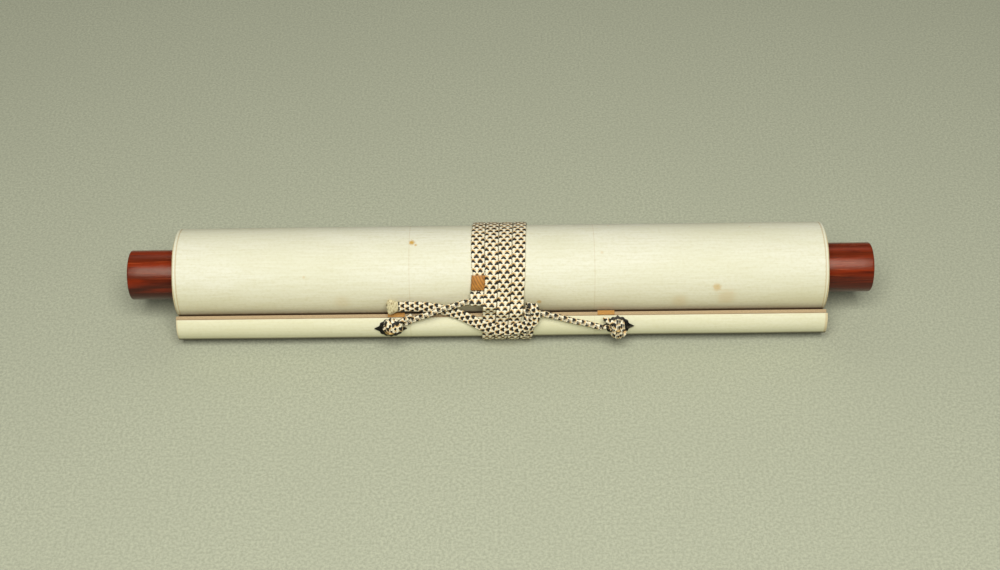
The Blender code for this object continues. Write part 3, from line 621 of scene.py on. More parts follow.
def woven_cloth(name, warp_colour, weft_colour, pitch, gloss=0.7):
    """Plain weave on Object coordinates: warp and weft threads rise over each other in turn."""
    shade = Shade(name, gloss, Sheen_Weight=0.2)
    x, y, z = shade.place()
    run = (y * 0.6 + z * 0.8) / pitch
    cross = x / pitch
    warp = shade.node("Math", {"operation": "SINE"}, {0: cross * pi * 2})
    weft = shade.node("Math", {"operation": "SINE"}, {0: run * pi * 2})
    over = (warp * weft).fade(-0.4, 0.4)
    slub = shade.noise((cross * 0.2, run * 1.4), 3.0)
    tone = shade.mix(over, warp_colour, weft_colour)
    tone = shade.mix(slub.fade(0.45, 0.75) * 0.45, tone, scaled(warp_colour, 0.55))
    return shade.finish(tone, slub * 0.2 + gloss - 0.1, abs(warp) * 0.5 + abs(weft) * 0.5, 0.6, 0.00012)


def braided_silk(colours, name, dark):
    """Flat silk braid: on a staggered lattice, black chevrons with an orange-brown rim on cream bundles.

    The last argument widens the black silk and deepens the painted shade in the gaps between bundles, as in a
    braid pulled narrow.
    """
    shade = Shade(name, 0.62, Specular_IOR_Level=0.25)
    across, along = shade.surface_place()
    p = across / CHEVRON_ACROSS
    q = along / CHEVRON_ALONG
    a = (p + q) / 2.0
    b = (q - p) / 2.0
    part_a = a - a.rounded()
    part_b = b - b.rounded()
    wobble = shade.noise((across * 0.35, along * 0.35), 2.0)
    x = (part_a - part_b) * CHEVRON_ACROSS
    y = (part_a + part_b) * CHEVRON_ALONG + (wobble - 0.5) * 0.6
    wide = abs(x)
    arch = y + wide ** 1.4 * 0.6
    uneven = shade.noise((across * 0.16 + 9.0, along * 0.16), 2.0)
    thick = wide.fade(1.65, 0.1, 0.46 + dark, 0.94 + dark) + (uneven - 0.5) * 1.1
    black = (thick - abs(arch - 0.1)).fade(-0.03, 0.04) * wide.fade(1.70 + dark, 1.54 + dark)
    rim = (0.46 - abs(arch - 1.25)).fade(-0.14, 0.08) * wide.fade(1.65, 1.1)
    border = abs(part_a).most(abs(part_b)).fade(0.41, 0.5)
    silk = shade.noise((p * 6.0 + abs(x) * 2.0, q * 1.5 + abs(x)), 3.0)
    tone = shade.mix(silk.fade(0.35, 0.7), colours.braid_light, colours.braid_cream)
    # Painted shade: the gaps between the bundles are darkened with the silk's shadow tone.
    tone = shade.mix(border * (0.22 + dark), tone, colours.braid_shadow)
    tone = shade.mix(rim * 0.78, tone, colours.braid_orange)
    tone = shade.mix(black * 0.98, tone, colours.braid_black)
    height = silk * 0.25 - border * 0.6 - black * 0.3
    return shade.finish(tone, silk * 0.2 + 0.5, height, 0.5, 0.00025)


def tan_leather(colours):
    """Thin tan leather: pebbled grain, fine diagonal scores and darker rubbed creases."""
    shade = Shade("tan_leather", 0.55)
    x, y, z = shade.place()
    run = y * -0.62 + z * 0.78
    score = shade.noise(((x + run) * 0.7, (x - run) * 3.2), 3.0)
    pebble = shade.noise(shade.place(1.6), 4.0, 0.65)
    cloud = shade.noise(shade.place(0.25), 2.0)
    tone = shade.mix(cloud.fade(0.35, 0.7), colours.leather, scaled(colours.leather, 1.35))
    lines = shade.node("Math", {"operation": "SINE"}, {0: (x * 0.75 + run) * 4.4 + score * 2.0})
    tone = shade.mix(lines.fade(-0.1, 0.8) * 0.62, tone, scaled(colours.leather, 0.42))
    tone = shade.mix(score.fade(0.55, 0.72) * 0.6, tone, scaled(colours.leather, 0.35))
    return shade.finish(tone, pebble * 0.25 + 0.42, pebble * 0.6 - score * 0.5, 0.6, 0.0003)


def dark_patina():
    """Dark patinated metal with worn, slightly warmer high spots."""
    shade = Shade("dark_patina", 0.45, 0.85)
    wear = shade.noise(shade.place(0.6), 4.0, 0.65)
    tone = shade.mix(wear.fade(0.48, 0.75), (0.020, 0.019, 0.016), (0.11, 0.095, 0.07))
    return shade.finish(tone, wear * 0.35 + 0.28, wear, 0.25, 0.0002)


def aged_brass():
    """Brass wire with brown tarnish."""
    shade = Shade("aged_brass", 0.35, 1.0)
    tarnish = shade.noise(shade.place(0.7), 4.0)
    tone = shade.mix(tarnish.fade(0.4, 0.7), (0.62, 0.44, 0.17), (0.25, 0.15, 0.06))
    return shade.finish(tone, tarnish * 0.35 + 0.22, tarnish, 0.2, 0.0002)


def rod_paper():
    """Paper pasted round the rod, seen only at its ends."""
    shade = Shade("rod_paper", 0.8)
    x, y, z = shade.place()
    pulp = shade.noise((x * 0.2, y * 1.2, z * 1.2), 4.0)
    return shade.finish(shade.mix(pulp, (0.70, 0.64, 0.44), (0.82, 0.78, 0.58)), None, pulp, 0.3, 0.0002)


def silk_end():
    """Cream silk of the cord's sealed end: fused fibres with a few brown threads."""
    shade = Shade("sealed_silk_end", 0.6, Sheen_Weight=0.2)
    across, along = shade.surface_place()
    fibre = shade.noise((across * 3.0, along * 0.5), 4.0, 0.6)
    stain = shade.noise((across * 0.5, along * 0.7), 3.0)
    tone = shade.mix(fibre.fade(0.35, 0.6), (0.80, 0.73, 0.45), (0.60, 0.52, 0.28))
    tone = shade.mix(stain.fade(0.5, 0.62) * 0.75, tone, (0.26, 0.17, 0.05))
    return shade.finish(tone, None, fibre, 0.8, 0.0004)


def studio_floor(colours):
    """Pale grey-green sweep with a very fine felt grain."""
    shade = Shade("studio_floor", 0.9, Specular_IOR_Level=0.2)
    x, y, _ = shade.place()
    felt = shade.noise((x * 0.6, y * 0.6), 3.0, 0.85)
    broad = shade.noise((x * 0.012, y * 0.012), 2.0)
    base = colours.floor
    tone = shade.mix(felt.fade(0.36, 0.64), scaled(base, 0.85), scaled(base, 1.15))
    tone = shade.mix(broad.fade(0.3, 0.7) * 0.2, tone, scaled(base, 0.94))
    return shade.finish(tone, None, felt, 0.2, 0.0003)


# ---------------------------------------------------------------- properties

def colour_property(name, description, default):
    return bpy.props.FloatVectorProperty(name=name, description=description, subtype="COLOR", size=3,
                                         min=0.0, max=1.0, default=default)


class ScrollColours(bpy.types.PropertyGroup):
    paper_light: colour_property("Paper", "Lightest tone of the backing paper", (0.825, 0.82, 0.665))
    paper_warm: colour_property("Warm paper", "Cloudy tone of the backing paper", (0.77, 0.765, 0.575))
    paper_fibre: colour_property("Paper fibre", "Tone of the paper's fibres", (0.68, 0.655, 0.44))
    wood_dark: colour_property("Dark grain", "Dark tone of the knobs", (0.055, 0.007, 0.004))
    wood_red: colour_property("Red grain", "Main tone of the knobs", (0.21, 0.019, 0.004))
    wood_orange: colour_property("Orange grain", "Light streaks of the knobs", (0.38, 0.056, 0.007))
    braid_light: colour_property("Light silk", "Lightest silk of the braids", (1.0, 0.96, 0.76))
    braid_cream: colour_property("Cream silk", "Cream silk of the braids", (0.93, 0.85, 0.58))
    braid_shadow: colour_property("Silk edge", "Tone between the braid's bundles", (0.36, 0.24, 0.11))
    braid_orange: colour_property("Chevron rim", "Silk above each chevron", (0.60, 0.32, 0.045))
    braid_black: colour_property("Chevron", "Dark silk of the chevrons", (0.004, 0.003, 0.002))
    leather: colour_property("Collar", "Leather of the collar", (0.42, 0.175, 0.026))
    floor: colour_property("Floor", "Studio floor", (0.455, 0.475, 0.35))


class ScrollSizes(bpy.types.PropertyGroup):
    relief: bpy.props.FloatProperty(name="Braid relief", description="Height of the braid's bundles",
                                    default=0.16 * MM, unit="LENGTH")
    station: bpy.props.FloatProperty(name="Braid step", description="Distance between a braid's rings",
                                     default=0.5 * MM, unit="LENGTH")
    paper_wave: bpy.props.FloatProperty(name="Paper wave", description="Unevenness of the rolled paper",
                                        default=0.10 * MM, unit="LENGTH")


def colours_of(context):
    return context.scene.scroll_colours


def sizes_of(context):
    return context.scene.scroll_sizes


FINISHES = {}


def shared(name, maker, *arguments):
    """A material made once and then shared by the pieces that use it."""
    if name not in FINISHES:
        FINISHES[name] = maker(*arguments)
    return FINISHES[name]


def paper_of(context):
    return shared("backing_paper", backing_paper, colours_of(context))


def braid_of(context, narrow=False):
    name, dark = ("narrow_braid", 0.16) if narrow else ("wide_braid", 0.0)
    return shared(name, braided_silk, colours_of(context), name, dark)


def finish_piece(piece, body, slot, *nodes):
    """Attaches a new piece to the body it moves with and hides the CAD nodes it stands for; the slot is not
    used.
    """
    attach(piece, body)
    if nodes:
        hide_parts(*nodes)
    return piece


def refinish(node, material):
    """Gives a CAD node its finished material."""
    mesh = frame["nodes"][node].data
    mesh.materials.clear()
    mesh.materials.append(material)


# ---------------------------------------------------------------- operators

def sheet_shell(name, line, thickness, stations, material, wave, seed, reach):
    """Thin closed sheet: a section line carried along the roll, offset to both sides by half its wall.

    Its UV is the place along the roll and the distance along the line. The reach gives how far the
    sheet goes to the left and the right at each distance.
    """
    tangent = unit(np.gradient(line, axis=0))
    normal = np.column_stack([tangent[:, 1], -tangent[:, 0]])
    length = run_lengths(line)
    x = signed_power(np.linspace(-1, 1, stations), 0.85)[:, None]
    left, right = reach(length)
    uneven = 0.25 * smooth_wave(length, seed, 6, 90.0)
    place = x * (np.where(x < 0, left, right) + uneven)
    lift = wave * smooth_wave(place * 0.6 + length * 1.7, seed, 4, 170.0)
    points = np.stack([world(place, line + normal * (side * thickness + lift)[..., None])
                       for side in (0.5, -0.5)])
    columns = len(line)
    block = stations * columns
    faces = grid_faces(stations, columns)
    faces += [face[::-1] for face in grid_faces(stations, columns, False, block)]
    rows, across = np.arange(stations) * columns, np.arange(columns)
    last = block - columns
    for rim in (rows[::-1], rows + columns - 1, across, across[::-1] + last):
        faces += [[a, b, b + block, a + block] for a, b in zip(rim.tolist(), rim[1:].tolist())]
    uv = np.stack(np.broadcast_arrays(place, length), axis=-1)
    return outward(add_mesh(name, points, faces, material, np.stack([uv, uv]))), float(length[-1])


OUTER_RADIUS = ROLL_RADIUS - SHEET_THICKNESS / 2
TURNS = (OUTER_RADIUS - SHEET_TURNS_START) / SHEET_PITCH


def spiral_line(start, end, count):
    """Centre line of the rolled sheet between two turns: the radius grows by one pitch a turn."""
    turn = np.linspace(start, end, int(count))
    radius = SHEET_TURNS_START + SHEET_PITCH * turn
    angle = np.radians(270 - 360 * (TURNS - turn))
    return np.column_stack([radius * np.cos(angle), radius * np.sin(angle)])


class SCROLL_OT_sheet(bpy.types.Operator):
    """Rolls the laminated sheet and brings its end over the stave"""
    bl_idname = "scroll.sheet"
    bl_label = "Rolled sheet"

    def execute(self, context):
        paper = paper_of(context)
        wave = sizes_of(context).paper_wave / MM
        inner = spiral_line(0.0, TURNS - 1.02, TURNS * 90)

        def inner_reach(length):
            last = np.clip((length - length[-1] + 420.0) / 240.0, 0, 1)
            return SHEET_HALF - 1.2 + 1.6 * last, SHEET_HALF - 1.2 + 1.4 * last

        piece, length = sheet_shell("rolled_layers", inner, SHEET_THICKNESS, 4, paper, 0.0, 3, inner_reach)
        finish_piece(piece, "scroll", "backing_paper", "sheet_lower_mount", "sheet_artwork")
        turn = spiral_line(TURNS - 1.01, TURNS, 1.01 * 150)
        middle = [(a + b) / 2 for a, b in zip(COVER_INNER, COVER_OUTER)]
        level = turn[-1][1]
        lowest = on_crown(LOWEST_ANGLE, middle)
        bridge = np.column_stack([np.linspace(0.5, lowest[0] - 0.5, 26), np.linspace(level, lowest[1], 26)])
        crown = on_crown(np.linspace(LOWEST_ANGLE, 88.0, 70), middle)
        line = np.vstack([turn, bridge, crown])

        def outer_reach(length):
            stave = np.clip((length - length[-1] + 30.0) / 12.0, 0, 1)
            return SHEET_HALF - 0.4 + 0.4 * stave, SHEET_HALF - 0.6 + 1.5 * stave

        piece, length = sheet_shell("outer_sheet", line, COVER_THICKNESS, 110, paper, wave, 8, outer_reach)
        finish_piece(piece, "scroll", "backing_paper", "sheet_upper_mount", "sheet_stave_wrap")
        refinish("sheet_pasted_wrap", shared("rod_paper", rod_paper))
        return {"FINISHED"}


def knob_profile(inner, outer, radius):
    """Profile of a knob, place and radius: socket rim, straight side, rounded edge and flat end."""
    quarter = np.radians(np.linspace(0, 90, 9))
    straight = [(inner + share * (outer - KNOB_EDGE - inner), radius) for share in (0.2, 0.5, 0.8)]
    rounded = np.column_stack([outer - KNOB_EDGE + KNOB_EDGE * np.sin(quarter),
                               radius - KNOB_EDGE + KNOB_EDGE * np.cos(quarter)]).tolist()
    end = [(outer, share * radius) for share in (0.8, 0.5, 0.2)] + [(outer, KNOB_POLE)]
    return [(inner, SOCKET_RADIUS), (inner, radius - 0.4), (inner + 0.4, radius)] + straight + rounded + end


class SCROLL_OT_roller(bpy.types.Operator):
    """Turns the two knobs and finishes the rod"""
    bl_idname = "scroll.roller"
    bl_label = "Roller and knobs"

    def execute(self, context):
        wood = shared("rosewood", rosewood, colours_of(context))
        for side, name in SIDES:
            low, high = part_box(f"roller_knob_{name}")
            inner, outer = sorted((abs(low[0]) / MM, abs(high[0]) / MM))
            profile = [(side * x, r) for x, r in knob_profile(inner, outer, (high[2] - low[2]) / 2 / MM)]
            knob = turned_surface(f"knob_{name}", profile, wood)
            finish_piece(knob, "roller", "rosewood", f"roller_knob_{name}")
        refinish("roller_rod", shared("softwood", softwood))
        return {"FINISHED"}


class SCROLL_OT_stave(bpy.types.Operator):
    """Finishes the stave and the brown cloth on its upper edge"""
    bl_idname = "scroll.stave"
    bl_label = "Stave and cloth"

    def execute(self, context):
        refinish("stave", shared("softwood", softwood))
        cloth = woven_cloth("brown_weave", (0.58, 0.43, 0.24), (0.38, 0.26, 0.13), 0.5)
        refinish("stave_front_cloth", cloth)
        silk = woven_cloth("orange_weave", (0.60, 0.30, 0.06), (0.42, 0.19, 0.03), 0.4, 0.55)
        for side, name in SIDES:
            band, flat, area = wind_band(f"folded_band_{name}", side, silk)
            finish_piece(band, "scroll", "orange_silk", f"wind_band_{name}")
        return {"FINISHED"}


def wind_band(name, side, material):
    """Silk band folded along the stave: a hook over its edge, then a packet lying low against its flat.

    The hook's outline and the packet's share a wall; the packet's upper edge sinks away from the hook.
    """
    low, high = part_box("wind_band_left" if side < 0 else "wind_band_right")
    near, far = sorted((abs(low[0]) / MM, abs(high[0]) / MM))
    wall = CLOTH_FACE - CLEARANCE - BAND_THICKNESS / 2
    top = STAVE_HALF_CHORD + 2 * CLEARANCE + CLOTH_THICKNESS + BAND_THICKNESS / 2
    bend = radians(1) * np.arange(0, 91, 15)
    up = np.linspace(-0.4, top - 0.5, 8)
    face = np.column_stack([np.full(8, wall), up])
    over = np.column_stack([wall + 0.5 - 0.5 * np.cos(bend), top - 0.5 + 0.5 * np.sin(bend)])
    edge = np.column_stack([np.linspace(wall + 0.6, CROWN_CENTRE, 6), np.full(6, top)])
    line = np.vstack([face, over, edge])
    x = np.linspace(near, near + BAND_WIDTH, 12)
    hook = np.broadcast_to(line, (len(x),) + line.shape)
    run = np.linspace(near + BAND_WIDTH, far, 60)
    sink = 2.6 * np.clip((run - near - BAND_WIDTH) / 6.0, 0, 1)
    rows = np.linspace(0, 1, 8)[None, :] * (BAND_WIDTH - 2.6 - sink[:, None]) - 0.4
    packet = np.stack([np.full_like(rows, wall), rows], axis=-1)
    points, faces = [], []
    for places, grid in ((x, hook), (run, packet)):
        tangent = unit(np.gradient(grid, axis=1))
        normal = np.stack([tangent[..., 1], -tangent[..., 0]], axis=-1)
        start = sum(len(block) for block in points)
        rings = []
        for half in (0.5, -0.5):
            rings.append(on_stave(*np.moveaxis(grid + half * BAND_THICKNESS * normal, -1, 0)))
        ring = np.concatenate([rings[0], rings[1][:, ::-1]], axis=1)
        block = world(side * places[:, None], ring)
        count = block.shape[1]
        faces += grid_faces(len(places), count, True, start)
        faces += [list(range(start, start + count))[::-1],
                  list(range(start + (len(places) - 1) * count, start + len(places) * count))]
        points.append(block.reshape(-1, 3))
    hooked = float(run_lengths(line)[-1]) * BAND_WIDTH
    packed = float((rows[:, -1] - rows[:, 0]).mean()) * (far - near - BAND_WIDTH)
    piece = outward(add_mesh(name, np.vstack(points), faces, material))
    return piece, ((far - near) * MM, BAND_WIDTH * MM), (hooked + packed) * MM * MM


class SCROLL_OT_fixings(bpy.types.Operator):
    """Makes the washers and the split-pin eyelets"""
    bl_idname = "scroll.fixings"
    bl_label = "Washers and eyelets"

    def execute(self, context):
        patina = shared("dark_patina", dark_patina)
        brass = shared("aged_brass", aged_brass)
        for side in ("left", "right"):
            x = eyelet_x(side)
            washer = scalloped_washer(f"scalloped_washer_{side}", x, patina)
            finish_piece(washer, "scroll", "dark_iron", f"washer_{side}")
            pin = split_pin(f"split_pin_{side}", x, brass)
            finish_piece(pin, "scroll", "brass", f"eyelet_{side}")
        return {"FINISHED"}


def eyelet_x(side):
    low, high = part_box(f"eyelet_{side}")
    return (low[0] + high[0]) / 2 / MM


def scalloped_washer(name, x, material):
    """Lozenge plate bent to the round face: rings from its hole to a scalloped, rounded rim and back."""
    low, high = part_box("washer_left")
    length = (high[0] - low[0]) / MM / 2 - 0.6
    width = length * 0.66
    turn = np.arange(128) * 2 * pi / 128
    lozenge = 1 / (np.abs(np.cos(turn)) / length + np.abs(np.sin(turn)) / width)
    rim = lozenge * (1 + 0.05 * np.cos(12 * turn)) + 1.1 * np.abs(np.sin(2 * turn)) ** 1.5
    top = CLEARANCE + WASHER_THICKNESS
    rings = []
    for share, level in ((0.0, 0.32), (0.95, 0.32), (1.0, 0.45), (1.0, top - 0.15), (0.965, top),
                         (0.86, top), (0.82, top - 0.18), (0.5, top - 0.12), (0.2, top), (0.0, top)):
        radius = WASHER_HOLE + (rim - WASHER_HOLE) * share
        bend = EYELET_ANGLE + np.degrees(radius * np.sin(turn) / (sum(COVER_OUTER) / 2))
        section = on_crown(bend) + crown_normal(bend) * level
        rings.append(world(x + radius * np.cos(turn), section))
    return tube_surface(name, np.stack(rings), material, closed=True)


def at_seat(x, along, up_face, height):
    """World points near an eyelet: along the roll, up the round face and out from it."""
    seat = on_crown(EYELET_ANGLE)
    out = crown_normal(EYELET_ANGLE)
    up = np.array([-out[1], out[0]])
    section = seat + np.multiply.outer(np.asarray(up_face, float), up) + np.multiply.outer(
        np.asarray(height, float), out)
    return world(x + np.asarray(along, float), section)


def split_pin(name, x, material):
    """Wire bent round into an eye, with its two legs side by side through the stave."""
    leg = EYELET_WIRE + 0.15
    opening = degrees(asin(leg / EYELET_RING))
    ring_height = CLEARANCE + WASHER_THICKNESS + 2 * EYELET_WIRE + EYELET_RING
    turn = np.radians(np.linspace(270 - opening, opening - 90, 56))
    along = np.concatenate([[-leg] * 4, EYELET_RING * np.cos(turn), [leg] * 4])
    legs = np.linspace(-EYELET_DEPTH, 0.0, 4)
    height = np.concatenate([legs, ring_height + EYELET_RING * np.sin(turn), legs[::-1]])
    centres = at_seat(x, along, np.zeros_like(along), height)
    out = world_direction(0, crown_normal(EYELET_ANGLE))
    flat = np.cross(out, (1, 0, 0))
    inward = np.cross(unit(np.gradient(centres, axis=0)), flat)
    ring = np.arange(14) * 2 * pi / 14
    rings = centres[:, None] + EYELET_WIRE * MM * (flat * np.cos(ring)[:, None]
                                                  + inward[:, None] * np.sin(ring)[:, None])
    return tube_surface(name, rings, material)


def braid_on_route(name, route, step, material, relief, half_width=None, half_thickness=None):
    """Braid along a route of x, distance round and height; returns the piece and its centre line."""
    rows = smooth_path(route, step)
    section, normal = around(rows[:, 1], rows[:, 2])
    centres = world(rows[:, 0], section)
    sides, normals = path_frames(centres, world_direction(0, normal))
    wide = rows[:, 3] if half_width is None else np.full(len(rows), half_width)
    thick = rows[:, 4] if half_thickness is None else np.full(len(rows), half_thickness)
    piece = braid_skin(name, centres, sides, normals, wide, thick, material, relief,
                       44 if half_width is None else 28)
    return piece, centres


class SCROLL_OT_hanging_cord(bpy.types.Operator):
    """Braids the hanging cord between the two eyelets and ties its knots"""
    bl_idname = "scroll.hanging_cord"
    bl_label = "Hanging cord and knots"

    def execute(self, context):
        sizes = sizes_of(context)
        silk = braid_of(context, True)
        cord, line = braid_on_route("hanging_braid", HANGING_ROUTE, sizes.station / MM, silk, 0.14, 1.75, 1.45)
        finish_piece(cord, "scroll", "braided_silk", "hanging_cord")
        for side in ("left", "right"):
            knot = eyelet_knot(side, silk)
            finish_piece(knot, "scroll", "braided_silk", f"hanging_cord_knot_{side}")
        return {"FINISHED"}


KNOTS = {
    # side: cord's first point, lump's centre, half length, half width, half depth, turns, cord end's points
    "left": ((-58.6, 55.0, 2.9), (-65.2, 56.6, 4.3), 4.9, 3.4, 2.0, 5.3,
             ((-60.5, 53.6, 4.9), (-57.8, 52.0, 4.8), (-53.6, 49.2, 4.9))),
    "right": ((61.2, 59.0, 3.5), (70.6, 59.8, 4.2), 3.6, 4.6, 1.9, 3.4,
              ((67.6, 56.6, 5.0), (65.0, 55.0, 4.6), (61.6, 52.6, 4.3))),
}


def eyelet_knot(side, material):
    """Knot on an eyelet: oval wraps that swell and shrink along its length, then the cord's short end."""
    start, centre, half_length, half_width, half_depth, count, stub = KNOTS[side]
    inward = 1 if side == "left" else -1
    share = np.linspace(0, 1, 80)
    turn = share * count * 2 * pi
    swell = 0.55 + 0.45 * np.sin(pi * share)
    wraps = np.column_stack([
        centre[0] + inward * half_length * (2 * share - 1),
        centre[1] - half_width * swell * np.cos(turn + 2.4),
        centre[2] + half_depth * swell * np.sin(turn + 2.4)])
    far = centre[0] - inward * half_length
    lead = [start, ((start[0] + centre[0]) / 2, start[1] + 0.6, 1.9), (centre[0], centre[1] + 0.5, 1.8),
            (far + inward * 0.6, centre[1] + 1.4, 2.2)]
    path = smooth_path(np.vstack([lead, wraps, stub]), 0.5)
    section, normal = around(path[:, 1], path[:, 2])
    centres = world(path[:, 0], section)
    middle_section, _ = around(centre[1], centre[2] - 0.8)
    sides, normals = path_frames(centres, unit(centres - world(centre[0], middle_section)))
    count = len(centres)
    taper = np.clip((count - np.arange(count)) / 3.0, 0.5, 1)
    return braid_skin(f"knot_{side}", centres, sides, normals, 1.6 * taper, 1.25 * taper, material, 0.12, 24)


def hump(distance, turn):
    """Height that a strand gains where it crosses over the hanging cord, by its number of turns."""
    total = np.zeros_like(distance)
    for number, (height, centre, reach) in STRAND_RISES.items():
        total += (turn == number) * height * np.exp(-((distance - centre) / reach) ** 2)
    return total


def lower_front(distance):
    """1 where the strands cross the stave, fading to 0 before and after it."""
    return np.clip((distance - 45.0) / 14.0, 0, 1) * np.clip((100.0 - distance) / 14.0, 0, 1)


def strand_shift(distance, turn):
    """Sideways shift of a strand: straighter down the front, and drawn closer across the stave."""
    straight = np.exp(-((distance - 27.0) / 13.0) ** 2) * (1.2 - 0.3 * turn)
    return straight - 0.62 * (turn - 1) * lower_front(distance)


# Sealed end of the tail: share of its length, half width and half thickness there.
TAIL_END = np.array([(0.0, 3.1, 1.1), (0.1, 3.0, 1.1), (0.3, 3.5, 1.4), (0.6, 4.4, 1.75), (0.8, 4.6, 1.7),
                     (0.92, 4.0, 1.3), (1.0, 2.3, 0.5)])


class SCROLL_OT_tie_cord(bpy.types.Operator):
    """Braids the tie cord: its sewn loop, four turns, hitched tail and bound end"""
    bl_idname = "scroll.tie_cord"
    bl_label = "Tie cord"

    def execute(self, context):
        sizes = sizes_of(context)
        silk = braid_of(context)
        turns, line = tie_turns(sizes.station / MM, silk, sizes.relief / MM)
        finish_piece(turns, "scroll", "braided_silk", "tie_cord_turns")
        loop = tie_loop(silk, sizes.relief / MM)
        finish_piece(loop, "scroll", "braided_silk", "tie_cord_loop")
        tail, line = braid_on_route("tie_tail", TAIL_ROUTE, sizes.station / MM, braid_of(context, True),
                                    sizes.relief / MM)
        finish_piece(tail, "scroll", "braided_silk", "tie_cord_tail")
        end = tail_end(silk_end())
        finish_piece(end, "scroll", "braided_silk", "tie_cord_end")
        return {"FINISHED"}


def tie_turns(step, material, relief):
    """The four turns: an even helix round the wrapped section, humped over the hanging cord."""
    start, end = -TIE_START, 4 * GIRTH - TIE_END
    station = np.linspace(start, end, int((end - start) / step))
    distance = np.mod(-station, GIRTH)
    turn = np.floor((station + GIRTH / 2) / GIRTH)
    height = CLEARANCE + TIE_THICKNESS / 2 + hump(distance, turn)
    section, normal = around(-station, height)
    centres = world(TIE_TOP_X + TIE_PITCH * station / GIRTH + strand_shift(distance, turn), section)
    sides = np.broadcast_to([1.0, 0, 0], centres.shape)
    collared = (turn == 0) * np.clip((distance - COLLAR_SPAN[0] + 3) / 2, 0, 1)
    collared = collared * (distance < COLLAR_SPAN[1] + 3)
    half_width = TIE_WIDTH / 2 - 0.02 - COLLAR_PINCH * collared - STRAND_SQUEEZE * lower_front(distance)
    half_thickness = np.full(len(station), TIE_THICKNESS / 2)
    piece = braid_skin("tie_turns", centres, sides, world_direction(0, normal), half_width, half_thickness,
                       material, relief)
    return piece, centres


def tie_loop(material, relief):
    """Sewn loop: the braid goes under the hanging cord, round it and back up to the collar."""
    height = CLEARANCE + LOOP_HALF_THICKNESS
    hold_distance, hold_height = HANGING_ROUTE[8][1:]
    bend = hold_height - height
    rows = [(TIE_START + CLEARANCE, height, 0.0), (hold_distance - 1.2, height, 0.0)]
    rows += [(hold_distance + bend * cos(radians(angle)), hold_height + bend * sin(radians(angle)), angle + 90)
             for angle in range(-90, 91, 15)]
    rows += [(hold_distance - 1.6, hold_height + bend - 0.5, 200), (TIE_START + 0.6, 3.9, 205),
             (COLLAR_SPAN[1], 2.9, 200)]
    path = smooth_path(rows, 20.0)
    fine = np.linspace(0, len(path) - 1, 70)
    path = np.column_stack([np.interp(fine, np.arange(len(path)), path[:, i]) for i in range(3)])
    section, normal = around(path[:, 0], path[:, 1])
    downward = np.column_stack([normal[:, 1], -normal[:, 0]])
    turn = np.radians(path[:, 2])[:, None]
    facing = normal * np.cos(turn) - downward * np.sin(turn)
    centres = world(TIE_TOP_X - TIE_PITCH * hold_distance / GIRTH + 0.9, section)
    sides = np.broadcast_to([-1.0, 0, 0], centres.shape)
    half = np.full(len(path), TIE_WIDTH / 2)
    return braid_skin("tie_loop", centres, sides, -world_direction(0, facing), half,
                      np.full(len(path), LOOP_HALF_THICKNESS), material, relief * 0.6)


def tail_end(material):
    """Sealed end of the tail: the braid's section swells and closes, with fine ridges and a ragged rim.

    The section is x = a sgn(cos) |cos|^0.7 and y = b sin, for the half width a and half thickness b.
    """
    share = np.linspace(0, 1, 46)
    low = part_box("tie_cord_end")[0][0] / MM + 0.1
    high = TAIL_ROUTE[-1][0] + 0.4
    section, normal = around(TAIL_ROUTE[-1][1] + 0.3 * share, 1.1 + 0.5 * share)
    centres = world(high - (high - low) * share, section)
    normals = world_direction(0, normal)
    sides = unit(np.cross(np.gradient(centres, axis=0), normals))
    wide, thick = (np.interp(share, TAIL_END[:, 0], TAIL_END[:, i])[:, None] for i in (1, 2))
    share = share[:, None]
    turn = np.arange(48) * 2 * pi / 48
    ridge = 1 + 0.07 * share * np.sin(turn * 11 + 3 * share)
    across = wide * signed_power(np.cos(turn), 0.7) * ridge
    lift = thick * np.sin(turn) * ridge
    rings = centres[:, None] + (sides[:, None] * across[..., None] + normals[:, None] * lift[..., None]) * MM
    rings[..., 0] += 3.0 * np.clip(share - 0.9, 0, 1) * np.sin(turn * 7) * MM
    uv = np.stack(np.broadcast_arrays(across, share * 8.0), axis=-1)
    return tube_surface("tail_end", rings, material, uv)


def collar_surface(half_width, material):
    """Collar over the first strand: an arched section, h = roof |sin|^0.5 and x = w sgn(cos) |cos|^0.28.

    Its ends sink a little, as 1 - sqrt(1 - t^14) from the middle, t = 0, to an end, t = 1.
    """
    count = 40
    stations = np.linspace(COLLAR_SPAN[0] + 0.4, COLLAR_SPAN[1] - 0.6, count)
    turn = np.linspace(0, pi, 41)
    square, arch = signed_power(np.cos(turn), 0.28), np.abs(np.sin(turn)) ** 0.5
    x = np.concatenate([half_width * square, (half_width - COLLAR_SIDE_WALL) * square[::-1]])
    h = CLEARANCE + np.concatenate([(COLLAR_ROOF - CLEARANCE) * arch,
                                    (COLLAR_ROOF - COLLAR_WALL - CLEARANCE) * arch[::-1]])
    raised = h > 1
    sunk = 1 - np.sqrt(np.clip(1 - np.abs(np.linspace(-1, 1, count)) ** 14, 0, 1))
    uneven = smooth_wave(stations[:, None] * 5 + x * 7, 4, 4, 30.0)
    height = h + (0.05 * uneven - 0.2 * sunk[:, None]) * raised
    section, _ = around(np.broadcast_to(stations[:, None], height.shape), height)
    centre = TIE_TOP_X - TIE_PITCH * stations / GIRTH + strand_shift(stations, 0)
    return tube_surface("collar", world(centre[:, None] + x, section), material)


class SCROLL_OT_collar(bpy.types.Operator):
    """Makes the leather collar over the tie cord's sewing"""
    bl_idname = "scroll.collar"
    bl_label = "Leather collar"

    def execute(self, context):
        low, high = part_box("leather_collar")
        leather = shared("tan_leather", tan_leather, colours_of(context))
        collar = collar_surface((high[0] - low[0]) / 2 / MM - 0.05, leather)
        finish_piece(collar, "scroll", "tan_leather", "leather_collar")
        return {"FINISHED"}


